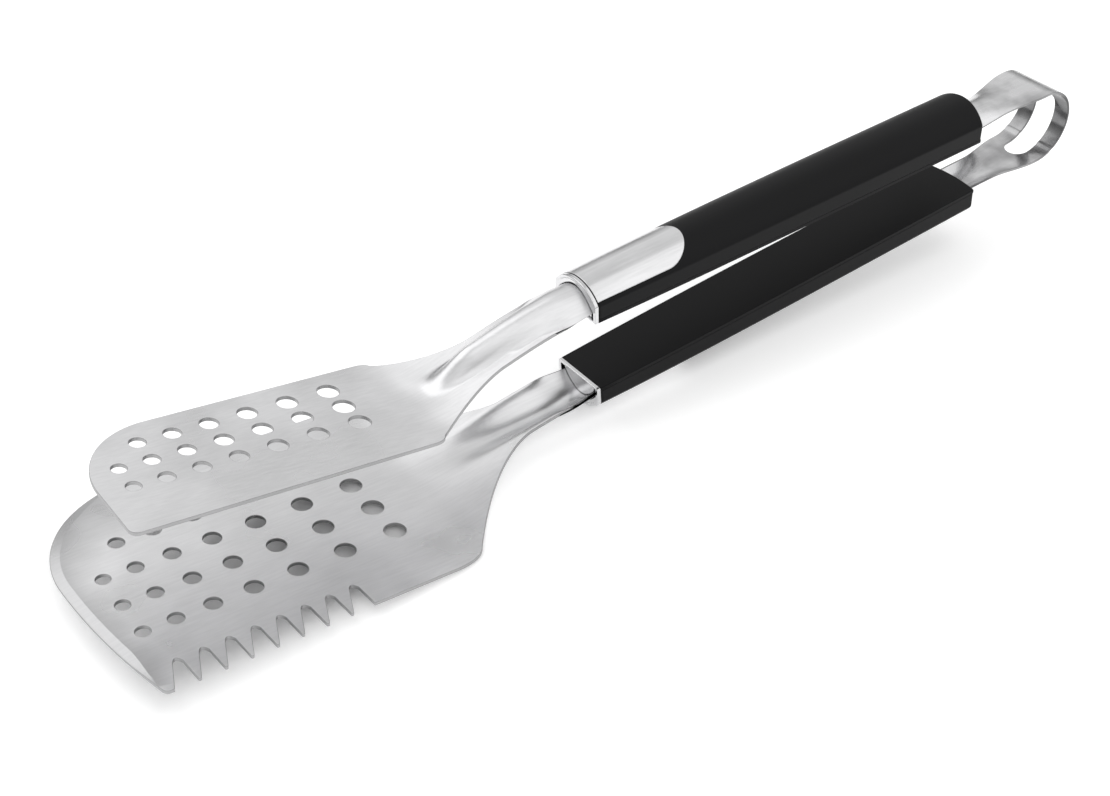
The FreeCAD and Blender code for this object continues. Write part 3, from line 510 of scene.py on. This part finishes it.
def armPoints(side, plan, depth):
    # the face moved along its own normal, which comes from two small steps on the plan
    form = armForm[side]
    step = 0.05
    along = armFace(form, plan + [step, 0]) - armFace(form, plan - [step, 0])
    across = armFace(form, plan + [0, step]) - armFace(form, plan - [0, step])
    normal = np.cross(across, along)
    normal /= np.linalg.norm(normal, axis=1)[:, None]
    return armFace(form, plan) + normal * depth[:, None]


def neckRim(form):
    # the plan's edge from the channel's end to the crease
    d = np.linspace(armSheet["channelEnd"], form["reach"], 170)
    return np.stack([d, rimHalf(form, d)], axis=1)


def headHoles(side):
    # columns spread and holes grow from the tip towards the crease; one hole of the first column is missing
    form, pattern = armForm[side], holePattern[side]
    column, row = np.meshgrid(np.arange(holeSize["columns"]), np.arange(pattern["rows"]), indexing="ij")
    keep = ~((column == 0) & (row == pattern["skip"]))
    column, row = column[keep], row[keep]
    fromTip = pattern["inset"] + pattern["step"] * column + pattern["growth"] * column * (column - 1) / 2
    d = form["reach"] + form["length"] - fromTip
    y = pattern["middle"] + (row - (pattern["rows"] - 1) / 2) * pattern["pitch"]
    growth = (holeSize["last"] - holeSize["first"]) * column / (holeSize["columns"] - 1)
    radius = (holeSize["first"] + growth) / 2
    return d, y, radius


def neckGrid(outline, form):
    # inner points where the sheet is curved, on a square grid, kept clear of the rims
    spacing = armSheet["spacing"]
    d, y = np.meshgrid(np.arange(armSheet["gridFrom"], form["reach"] + armSheet["gridPast"], spacing),
                       np.arange(-form["half"], form["half"], spacing), indexing="ij")
    grid = np.stack([d.ravel(), y.ravel()], axis=1)
    onNeck = grid[:, 0] < form["reach"]
    limit = np.where(onNeck, rimHalf(form, np.minimum(grid[:, 0], form["reach"])), form["rootHalf"])
    grid = grid[np.abs(grid[:, 1]) < limit - 0.6]
    return grid[nearest(grid, outline) > 1.0]


scraper = {"corner": 38.0, "sweep": 230.0, "tip": 2.0, "bevelWide": 2.8, "bevelDeep": 0.75,
           "taperIn": 22.0, "taperOut": 20.0}


def scraperEdge(inset, count):
    # The large far corner and the gently swept front, a circle and a parabola, and the same line moved
    # inwards by a distance that tapers to half a millimetre at both ends.
    form = armForm["lower"]
    half, corner = form["half"], scraper["corner"]
    reach = form["reach"] + form["length"]
    frontY = corner - half
    round1 = arcPoints((reach - corner, frontY), corner, -90, 0, count)
    y = np.linspace(frontY, half - scraper["tip"], count)[1:]
    front = np.stack([reach - (y - frontY) ** 2 / (2 * scraper["sweep"]), y], axis=1)
    edge = np.concatenate([round1, front])
    run = np.concatenate([[0], np.cumsum(np.linalg.norm(np.diff(edge, axis=0), axis=1))])
    taper = smoothStep(run, 0, scraper["taperIn"])
    taper = taper * (1 - smoothStep(run, run[-1] - scraper["taperOut"], run[-1]))
    way = np.gradient(edge, axis=0)
    way /= np.linalg.norm(way, axis=1)[:, None]
    inward = np.stack([-way[:, 1], way[:, 0]], axis=1)
    return edge, edge + inward * (inset * taper + 0.5)[:, None], taper


teeth = {"pitch": 8.8, "depth": 11.4, "start": 44.6, "lean": 0.45, "rootHalf": 1.65, "rootRise": 1.9,
         "blunt": 1.0, "count": 8}


def toothRun():
    # one saw tooth repeated: a square flank, a round root, a sloped flank and a blunt tip
    half = armForm["lower"]["half"]
    low = half - teeth["depth"] + teeth["rootRise"]
    root = curveThrough((teeth["lean"], low), (teeth["lean"] + teeth["rootHalf"], half - teeth["depth"]),
                        (teeth["lean"] + 2 * teeth["rootHalf"], low), 11)
    tip = teeth["pitch"] - teeth["blunt"]
    bluntTip = [[tip - 0.1, half - 0.3], [tip + 0.1, half - 0.05], [tip + 0.35, half],
                [teeth["pitch"] - 0.25, half - 0.05]]
    tooth = np.concatenate([[[0.0, half - 0.35]], root, bluntTip])
    start = armForm["lower"]["reach"] + teeth["start"] + teeth["pitch"] * np.arange(teeth["count"])
    run = tooth[None] + np.stack([start, np.zeros(teeth["count"])], axis=1)[:, None]
    return run.reshape(-1, 2), start[-1] + teeth["pitch"]


def lowerPlan():
    # the wide head's edge: rim, shoulder, saw teeth, blunt tip and swept front, then the far side back again
    form = armForm["lower"]
    reach, root, half = form["reach"], form["rootHalf"], form["half"]
    rim = neckRim(form)
    shoulder = curveThrough((reach, root), (reach + 4.2, root + 0.71 * (half - root)), (reach + 12, half), 14)
    toothLine, toothEnd = toothRun()
    edge, bevelLine, taper = scraperEdge(scraper["bevelWide"], 60)
    tip = curveThrough((toothEnd, half), ((toothEnd + edge[-1, 0] + 0.7) / 2, half - 0.5), edge[-1], 9)
    mirrored = np.array([1, -1])
    outline = loopOf(rim, shoulder, toothLine, [(toothEnd, half)], tip, edge[::-1],
                     (shoulder * mirrored)[::-1], (rim * mirrored)[::-1])
    return evenly(outline, 2.2), bevelLine[4:-4], edge, taper


def upperPlan():
    # the narrow head's edge: rim, shoulder, a large round corner and a small one, then back again
    form = armForm["upper"]
    reach, root, half = form["reach"], form["rootHalf"], form["half"]
    end = reach + form["length"]
    rim = neckRim(form)
    middle = (reach + 1.6, root + 0.71 * (half - root))
    shoulder = curveThrough((reach, root), middle, (reach + 4.5, half), 10)
    large, small = form["corners"]
    largeArc = arcPoints((end - large, half - large), large, 90, 0, 44)
    smallArc = arcPoints((end - small, small - half), small, 0, -90, 12)
    mirrored = np.array([1, -1])
    outline = loopOf(rim, shoulder, largeArc, smallArc, (shoulder * mirrored)[::-1], (rim * mirrored)[::-1])
    return evenly(outline, 2.2)


def makeArm(side):
    # the sheet cut to its plan with all its holes, laid on the arm's face
    form = armForm[side]
    if side == "lower":
        outline, bevelLine, edge, taper = lowerPlan()
        bevelBand = np.concatenate([bevelLine, edge[::-1] + [0.4, 0]])
    else:
        outline, bevelLine, bevelBand = upperPlan(), (), None
    d, y, radius = headHoles(side)
    holes = [arcPoints(place, r, 0, 350, 36) for place, r in zip(np.stack([d, y], axis=1), radius)]
    holes += [arcPoints((x, 0), fastening["screwHole"], 0, 345, 24) for x in fastening["screws"]]
    holes += [arcPoints((x, 0), fastening["rivetHole"], 0, 345, 24) for x in fastening["rivets"]]
    inside = neckGrid(outline, form)

    def plainLift(plan, depth):
        return fromHandle(armPoints(side, plan, depth), side)

    def lift(plan, depth):
        # the ground bevel lowers the upper face towards the front edge
        gap = np.linalg.norm(plan[:, None] - edge[None], axis=2)
        near = np.argmin(gap, axis=1)
        width = scraper["bevelWide"] * taper[near] + 0.5
        share = taper[near] * np.clip(1 - np.min(gap, axis=1) / width, 0, 1)
        low = scraper["bevelDeep"] * share
        return plainLift(plan, low + (armSheet["gauge"] - low) * depth / armSheet["gauge"])

    return cutSheet(side + "_arm_sheet", outline, holes, armSheet["gauge"], armSheet["rim"],
                    lift if side == "lower" else plainLift, inside, bevelLine, bevelBand, plainLift)


for side in sides:
    finish(makeArm(side), satin, "stamped_steel", side + "_half", side + "_arm")
print("arms made")

# Grips: a D shaped sleeve with a flat face plate
grip = {"start": 0.02, "length": 192.0, "half": 11.65, "side": 7.0, "crown": 13.2, "shoulder": 1.3,
        "endRound": 1.0, "bow": 1.4, "bowStart": 14.0, "plate": 1.6, "plateRim": 0.25, "plateCorner": 0.5,
        "seam": 0.03, "wider": 0.135, "higher": 0.165, "swellLength": 50.0}


def crownCircle():
    # the circle through both tops of the sides and the top of the crown: its radius and its centre's height
    rise = grip["crown"] - grip["side"]
    radius = (grip["half"] ** 2 + rise ** 2) / (2 * rise)
    return radius, grip["crown"] - radius


def crownHeight(y):
    # height of the crown's circle at a distance off the middle
    radius, centre = crownCircle()
    return centre + np.sqrt(radius ** 2 - y ** 2)


def gripLoop(base, corner, shoulder):
    # Flat base, rounded corners, upright sides, soft shoulders and the crown's circle, counterclockwise in
    # y and z.
    half = grip["half"]
    radius, centre = crownCircle()
    y = half - shoulder
    z = centre + math.sqrt((radius - shoulder) ** 2 - y ** 2)
    lean = math.degrees(math.atan2(z - centre, y))
    right = np.concatenate([arcPoints((half - corner, base + corner), corner, -90, 0, 5),
                            np.stack([np.full(3, half), np.linspace(base + corner, z, 5)[1:-1]], axis=1),
                            arcPoints((y, z), shoulder, 0, lean, 9)])
    crown = arcPoints((0, centre), radius, lean, 180 - lean, 41)[1:-1]
    return np.concatenate([right, crown, (right * [-1, 1])[::-1]])


def inwards(loop, distance, base):
    # the loop moved in by a distance; it never passes its own flat base or sides
    moved = loop - mitres(loop) * distance
    limit = grip["half"] - distance
    return np.stack([np.clip(moved[:, 0], -limit, limit), np.maximum(moved[:, 1], base + distance)], axis=1)


def bowed(x, y):
    # the back end bulges towards the loop in plan
    share = smoothStep(x, grip["length"] - grip["bowStart"], grip["length"])
    return x + grip["bow"] * share * (1 - (y / grip["half"]) ** 2)


def swollen(x, y, z):
    # The grip is as large as its cap in front and grows towards the back, quickly at first. Its flat face
    # stays flat.
    share = 1 - np.exp(-np.maximum(x, 0) / grip["swellLength"])
    return np.stack([x, y * (1 + grip["wider"] * share),
                     z + np.maximum(z - grip["plate"], 0) * grip["higher"] * share], axis=-1)


def makeSleeve(side):
    # the D shaped loop carried along the handle, rounded over at the back and closed at both ends
    loop = gripLoop(grip["plate"], 0.12, grip["shoulder"])
    angle = np.radians(np.linspace(0, 90, 6))
    r = grip["endRound"]
    x = np.concatenate([[grip["start"], grip["start"], 1.0], np.linspace(2, grip["length"] - 15, 40),
                        np.linspace(grip["length"] - 14, grip["length"] - r - 0.2, 8),
                        grip["length"] - r + r * np.sin(angle), [grip["length"]] * 3])
    inset = np.concatenate([[2.0, 0.05, 0.0], np.zeros(48), r * (1 - np.cos(angle)), [2.5, 5.0, 7.5]])
    middle = loop.mean(axis=0)
    flat = np.stack([inwards(loop, distance, grip["plate"]) if distance < 2.2 else
                     middle + (loop - middle) * (1 - distance / 9) for distance in inset])
    along = np.broadcast_to(x[:, None], flat.shape[:2])
    rings = swollen(bowed(along, flat[..., 0]), flat[..., 0], flat[..., 1])
    return carried(side + "_grip_sleeve", fromHandle(rings, side))


def makeFacePlate(side):
    # the flat inner face: a thin plate with the sleeve's plan
    half, corner, start = grip["half"], grip["plateCorner"], grip["start"]
    y = np.linspace(-half + corner, half - corner, 31)
    back = np.stack([bowed(np.full(31, grip["length"]), y), y], axis=1)
    nearCorner = arcPoints((grip["length"] - corner, corner - half), corner, -90, -20, 5)
    farCorner = arcPoints((grip["length"] - corner, half - corner), corner, 20, 90, 5)
    outline = evenly(loopOf([(start, -half)], nearCorner, back, farCorner, [(start, half)]), 8)

    def lift(plan, depth):
        return fromHandle(swollen(plan[:, 0], plan[:, 1], depth), side)

    return cutSheet(side + "_grip_face", outline, [], grip["plate"] - grip["seam"], grip["plateRim"], lift)


for side in sides:
    finish(makeSleeve(side), gripBlack, "grip_black", side + "_half", side + "_grip_shell")
    finish(makeFacePlate(side), gripBlack, "grip_black", side + "_half", side + "_inner_cover")
print("grips made")

# Steel caps: a lip round the handle's front and a tongue over the crown
cap = {"lip": 1.6, "rim": 0.3, "gauge": 0.9, "tongueLength": 45.0, "tongueHalf": 10.75, "tongueRound": 13.0,
       "tongueRim": 0.2, "proud": 0.16, "groove": 0.3, "passageGap": 0.2, "floor": 0.9, "beadWide": 1.5,
       "beadHigh": 0.5, "slopeWide": 1.2, "slopeDeep": 0.45}


def makeLip(side):
    # the D shaped front plate with an arched opening for the arm; a deep front rim and a fine back one
    outline = evenly(gripLoop(0.0, 0.45, 0.8), 1.2)
    y = np.linspace(-1, 1, 41)
    rise = armSheet["rise"] + 0.2
    half = armSheet["half"] + armSheet["gauge"] * 0.8 + cap["passageGap"]
    top = armSheet["base"] + armSheet["gauge"] * 0.6 + (rise + armSheet["gauge"] * 0.4) * (1 - y ** 2)
    arch = np.stack([y[::-1] * half, top[::-1] + cap["passageGap"]], axis=1)
    passage = evenly(loopOf([(-half, cap["floor"]), (half, cap["floor"])], arch), 1.0)

    def lift(plan, depth):
        # a round bead follows the edge, then a fine groove, then a shoulder that slopes forward to the arm
        slope = smoothStep(plan[:, 1], grip["side"] - 1, grip["side"] + 3)
        fromEdge = nearest(plan, outline) / cap["beadWide"]
        bead = cap["beadHigh"] * np.clip(np.abs(2 * fromEdge - 1), 0, 1) ** 2
        shoulder = cap["slopeDeep"] * np.clip(1 - (fromEdge - 1) / cap["slopeWide"], 0, 1)
        front = slope * np.where(fromEdge < 1, bead, shoulder)
        x = -cap["lip"] + front + (cap["lip"] - front) * depth / cap["lip"]
        return fromHandle(np.column_stack([x, plan]), side)

    shares = (0.35, 0.5, 0.65, 0.8, 0.9, 1.0, 1.1, 1.35, 1.7)
    rows = np.concatenate([outline - mitres(outline) * (share * cap["beadWide"]) for share in shares])
    rows = rows[withinLoop(rows, outline) & ~withinLoop(rows, passage) & (nearest(rows, passage) > 0.45)]
    return cutSheet(side + "_cap_lip", outline, [passage], cap["lip"], cap["rim"], lift, rows)


def makeTongue(side):
    # a thin sheet with a half ellipse for its end, laid on the grip's crown
    half = cap["tongueHalf"]
    straight = cap["tongueLength"] - cap["tongueRound"]
    stretch = [cap["tongueRound"] / half, 1]
    end = arcPoints((0, 0), half, -90, 90, 61) * stretch + [straight, 0]
    outline = evenly(loopOf([(cap["groove"], -half)], end, [(cap["groove"], half)]), 1.6)
    x, y = np.meshgrid(np.arange(1.5, cap["tongueLength"], 3.0), np.arange(-half + 1.2, half - 1, 1.2),
                       indexing="ij")
    grid = np.stack([x.ravel(), y.ravel()], axis=1)
    grid = grid[(nearest(grid, outline) > 0.8) & withinLoop(grid, outline)]

    def lift(plan, depth):
        z = crownHeight(plan[:, 1]) + cap["proud"] - depth
        return fromHandle(swollen(plan[:, 0], plan[:, 1], z), side)

    return cutSheet(side + "_cap_tongue", outline, [], cap["gauge"], cap["tongueRim"], lift, grid)


for side in sides:
    finish(makeTongue(side), polished, "cap_steel", side + "_half", side + "_front_cap")
    lip = makeLip(side)
    lip.data.materials.append(polished)
    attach(lip, side + "_half")
print("caps made")

# Spring strip: two arched tails, flares and a round bend with a long slot
strip = {"gauge": 1.0, "rim": 0.16, "tailStart": 118.0, "radius": 16.0, "exitHalf": 8.95, "wide": 12.0,
         "slotHalf": 5.0, "slotLow": -88.0, "slotHigh": 18.0, "flareStart": 208.0, "flareEnd": 231.0,
         "beadAngle": -60.0, "beadHigh": 0.3, "beadSpread": 0.05}


def stripFace(plan):
    # The outer face. The plan's first number is the way along the strip, 0 at the middle of the bend and
    # negative towards the lower tail: an arc of the bend, then a leg whose arch grows towards its handle.
    s, y = plan[:, 0], plan[:, 1]
    radius = strip["radius"]
    quarter = radius * math.pi / 2
    angle = np.clip(s / radius, -math.pi / 2, math.pi / 2)
    result = np.stack([posture["bendX"] + radius * np.cos(angle), y,
                       posture["bendZ"] + radius * np.sin(angle)], axis=1)
    for side, sign in (("upper", 1), ("lower", -1)):
        beyond = np.maximum(sign * s - quarter, 0)
        end = np.array([[posture["bendX"], 0, posture["bendZ"] + sign * radius]])
        flip = np.array([1, sign, sign])
        half = np.array([0, 0, posture["gap"] / 2])
        local = turned((end * flip) - half, -posture["splay"])
        x = local[0, 0] - beyond
        settle = smoothStep(x, grip["length"] - 2, local[0, 0])
        halfWidth = stripHalf(s)
        topBase = armSheet["base"] - 0.1
        arch = armSheet["rise"] * (1 - settle) * (1 - np.minimum((y / halfWidth) ** 2, 1))
        base = topBase + (local[0, 2] - topBase) * settle
        leg = np.stack([x, sign * y, base + arch], axis=1)
        leg = toMiddle(leg, side)
        result = np.where((beyond > 0)[:, None], leg, result)
    return result


def stripHalf(s):
    # half width along the strip: narrow in the handle, flared to the full width before the bend
    x = posture["bendX"] - np.maximum(np.abs(s) - strip["radius"] * math.pi / 2, 0)
    flare = smoothStep(x, strip["flareStart"], strip["flareEnd"])
    return strip["exitHalf"] + (strip["wide"] - strip["exitHalf"]) * flare


def stripPoints(plan, depth):
    # depth runs inwards from the outer face, and a shallow bead crosses both ribbons
    step = 0.05
    along = stripFace(plan + [step, 0]) - stripFace(plan - [step, 0])
    across = stripFace(plan + [0, step]) - stripFace(plan - [0, step])
    normal = np.cross(along, across)
    normal /= np.linalg.norm(normal, axis=1)[:, None]
    fromBead = plan[:, 0] / strip["radius"] - math.radians(strip["beadAngle"])
    bead = strip["beadHigh"] * np.exp(-(fromBead / strip["beadSpread"]) ** 2)
    return stripFace(plan) + normal * (depth + bead)[:, None]


def makeStrip():
    # the strip laid out flat, with its long slot, then bent onto its outer face
    length = strip["radius"] * math.pi / 2 + posture["bendX"] - strip["tailStart"]
    s = np.linspace(-length, length, 300)
    right = np.stack([s, stripHalf(s)], axis=1)
    outline = loopOf(right, (right * [1, -1])[::-1])
    low, high = (math.radians(strip[key]) * strip["radius"] for key in ("slotLow", "slotHigh"))
    slot = evenly(loopOf(arcPoints((high, 0), strip["slotHalf"], -90, 90, 25),
                         arcPoints((low, 0), strip["slotHalf"], 90, 270, 25)), 0.8)
    a, b = np.meshgrid(np.arange(-length + 1, length, 0.9), np.linspace(-1, 1, 19)[1:-1], indexing="ij")
    grid = np.stack([a.ravel(), (b * stripHalf(a)).ravel()], axis=1)
    inSlot = (grid[:, 0] > low - 0.5) & (grid[:, 0] < high + 0.5)
    inSlot &= np.abs(grid[:, 1]) < strip["slotHalf"] + 0.5
    inSlot |= nearest(grid, np.array([[low, 0], [high, 0]])) < strip["slotHalf"] + 0.5
    grid = grid[~inSlot]
    return cutSheet("spring_strip", outline, [slot], strip["gauge"], strip["rim"],
                    lambda plan, depth: fromMiddle(stripPoints(plan, depth)), grid)


springStrip = makeStrip()
springStrip.data.materials.append(spring)
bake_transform(springStrip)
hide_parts("spring_loop")
print("spring made")

# Pieces that keep their construction shape
carriedOver = {"end_plate": polished, "core": corePlastic, "core_screws": fastener, "spring_rivets": fastener}
for side in sides:
    for part, material in carriedOver.items():
        node = frame["nodes"][side + "_" + part]
        node.data.materials.clear()
        node.data.materials.append(material)

# Floor, light and camera
studio = {
    "floorColour": "fafafa",
    "floorGlow": 0.27,                 # light of the floor's own, so that it looks white
    "paintedShadowLength": 0.128,             # length of the painted shadow, from the wide head's front edge to its crease
    "paintedShadowFade": (-0.016, 0.002),     # the painted shadow ends and the glow comes back between these distances from the head's outline
    "skyDiffuse": 0.84,                # the plain light on matt surfaces
    # height on the sky and the grey that steel reflects there
    "skyBand": [(0.0, 0.22), (0.20, 0.48), (0.50, 0.90), (0.85, 0.74)],
}


def makeFloor():
    # a large square, white to the eye, that keeps the object's shadow
    mesh = bpy.data.meshes.new("floor")
    mesh.from_pydata([(-6, -6, 0), (6, -6, 0), (6, 6, 0), (-6, 6, 0)], [], [(0, 1, 2, 3)])
    floor = bpy.data.objects.new("floor", mesh)
    bpy.context.scene.collection.objects.link(floor)
    material, tree = newMaterial("white_paper_floor")
    rays = addNode(tree, "ShaderNodeLightPath")
    seen = addNode(tree, "ShaderNodeMath", {"operation": "MAXIMUM"},
                   {0: rays.outputs["Is Camera Ray"], 1: rays.outputs["Is Glossy Ray"]})
    seen = addNode(tree, "ShaderNodeMath", {"operation": "MAXIMUM"},
                   {0: seen.outputs[0], 1: rays.outputs["Is Transmission Ray"]})
    # painted shadow: the glow fades out below the wide head, so that its shadow stays deep and its holes look
    # dark
    place = addNode(tree, "ShaderNodeTexCoord").outputs["Object"]
    low, high = (np.array(corner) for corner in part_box("lower_arm"))
    high[0] = low[0] + studio["paintedShadowLength"]
    away = addNode(tree, "ShaderNodeVectorMath", {"operation": "SUBTRACT", 1: tuple((low + high) / 2)},
                   {0: place})
    away = addNode(tree, "ShaderNodeVectorMath", {"operation": "ABSOLUTE"}, {0: away.outputs[0]})
    away = addNode(tree, "ShaderNodeVectorMath", {"operation": "SUBTRACT", 1: tuple((high - low) / 2)},
                   {0: away.outputs[0]})
    apart = addNode(tree, "ShaderNodeSeparateXYZ", links={0: away.outputs[0]})
    apart = addNode(tree, "ShaderNodeMath", {"operation": "MAXIMUM"},
                    {0: apart.outputs["X"], 1: apart.outputs["Y"]})
    fade = studio["paintedShadowFade"]
    bright = addNode(tree, "ShaderNodeMapRange", {"From Min": fade[0], "From Max": fade[1]},
                     {"Value": apart.outputs[0]})
    lift = addNode(tree, "ShaderNodeMath", {"operation": "MULTIPLY", 1: studio["floorGlow"]},
                   {0: seen.outputs[0]})
    lift = addNode(tree, "ShaderNodeMath", {"operation": "MULTIPLY"},
                   {0: lift.outputs[0], 1: bright.outputs[0]})
    matte = addNode(tree, "ShaderNodeBsdfDiffuse", {"Color": linear(studio["floorColour"])})
    glow = addNode(tree, "ShaderNodeEmission", {"Color": (1, 1, 1, 1)}, {"Strength": lift.outputs[0]})
    both = addNode(tree, "ShaderNodeAddShader", links={0: matte.outputs[0], 1: glow.outputs[0]})
    addNode(tree, "ShaderNodeOutputMaterial", links={"Surface": both.outputs[0]})
    mesh.materials.append(material)


def makeSky():
    # one plain light for matt surfaces, a band of greys by height for shiny ones and white behind the object
    world = bpy.data.worlds.new("studio_sky")
    bpy.context.scene.world = world
    world.use_nodes = True
    tree = world.node_tree
    tree.nodes.clear()
    rays = addNode(tree, "ShaderNodeLightPath")
    way = addNode(tree, "ShaderNodeTexCoord").outputs["Generated"]
    height = addNode(tree, "ShaderNodeSeparateXYZ", links={0: way}).outputs["Z"]
    band = ramp(tree, height, studio["skyBand"])
    plain = addNode(tree, "ShaderNodeBackground",
                    {"Color": (1, 1, 1, 1), "Strength": studio["skyDiffuse"]})
    mirror = addNode(tree, "ShaderNodeBackground", {"Strength": 1.0}, {"Color": band})
    backdrop = addNode(tree, "ShaderNodeBackground", {"Color": (1, 1, 1, 1), "Strength": 1.0})
    glossy = addNode(tree, "ShaderNodeMixShader",
                     links={0: rays.outputs["Is Glossy Ray"], 1: plain.outputs[0], 2: mirror.outputs[0]})
    seen = addNode(tree, "ShaderNodeMath", {"operation": "MAXIMUM"},
                   {0: rays.outputs["Is Camera Ray"], 1: rays.outputs["Is Transmission Ray"]})
    final = addNode(tree, "ShaderNodeMixShader",
                    links={0: seen.outputs[0], 1: glossy.outputs[0], 2: backdrop.outputs[0]})
    addNode(tree, "ShaderNodeOutputWorld", links={"Surface": final.outputs[0]})


lamps = {
    "key": {"place": (-0.30, 0.55, 1.10), "size": 1.2, "power": 3.6},
    "fill": {"place": (0.45, -0.70, 1.00), "size": 1.3, "power": 2.2},
}


def makeLamp(name, lamp):
    # a soft square light turned towards the object
    data = bpy.data.lights.new(name, "AREA")
    data.shape = "SQUARE"
    data.size = lamp["size"]
    data.energy = lamp["power"]
    light = bpy.data.objects.new(name, data)
    light.location = lamp["place"]
    toObject = -light.location
    light.rotation_euler = toObject.to_track_quat("-Z", "Y").to_euler()
    bpy.context.scene.collection.objects.link(light)


camera = {"lens": 55.14, "place": (-0.32689, -0.38460, 0.39172), "turn": (51.4075, -0.2124, -36.9046)}


def makeCamera():
    # the main view, with the turn given in degrees
    data = bpy.data.cameras.new("camera")
    data.lens = camera["lens"]
    view = bpy.data.objects.new("camera", data)
    view.location = camera["place"]
    view.rotation_euler = [math.radians(angle) for angle in camera["turn"]]
    bpy.context.scene.collection.objects.link(view)
    bpy.context.scene.camera = view


makeFloor()
makeSky()
for name, lamp in lamps.items():
    makeLamp(name, lamp)
makeCamera()
bpy.context.scene.view_settings.view_transform = "Standard"
print("studio made")
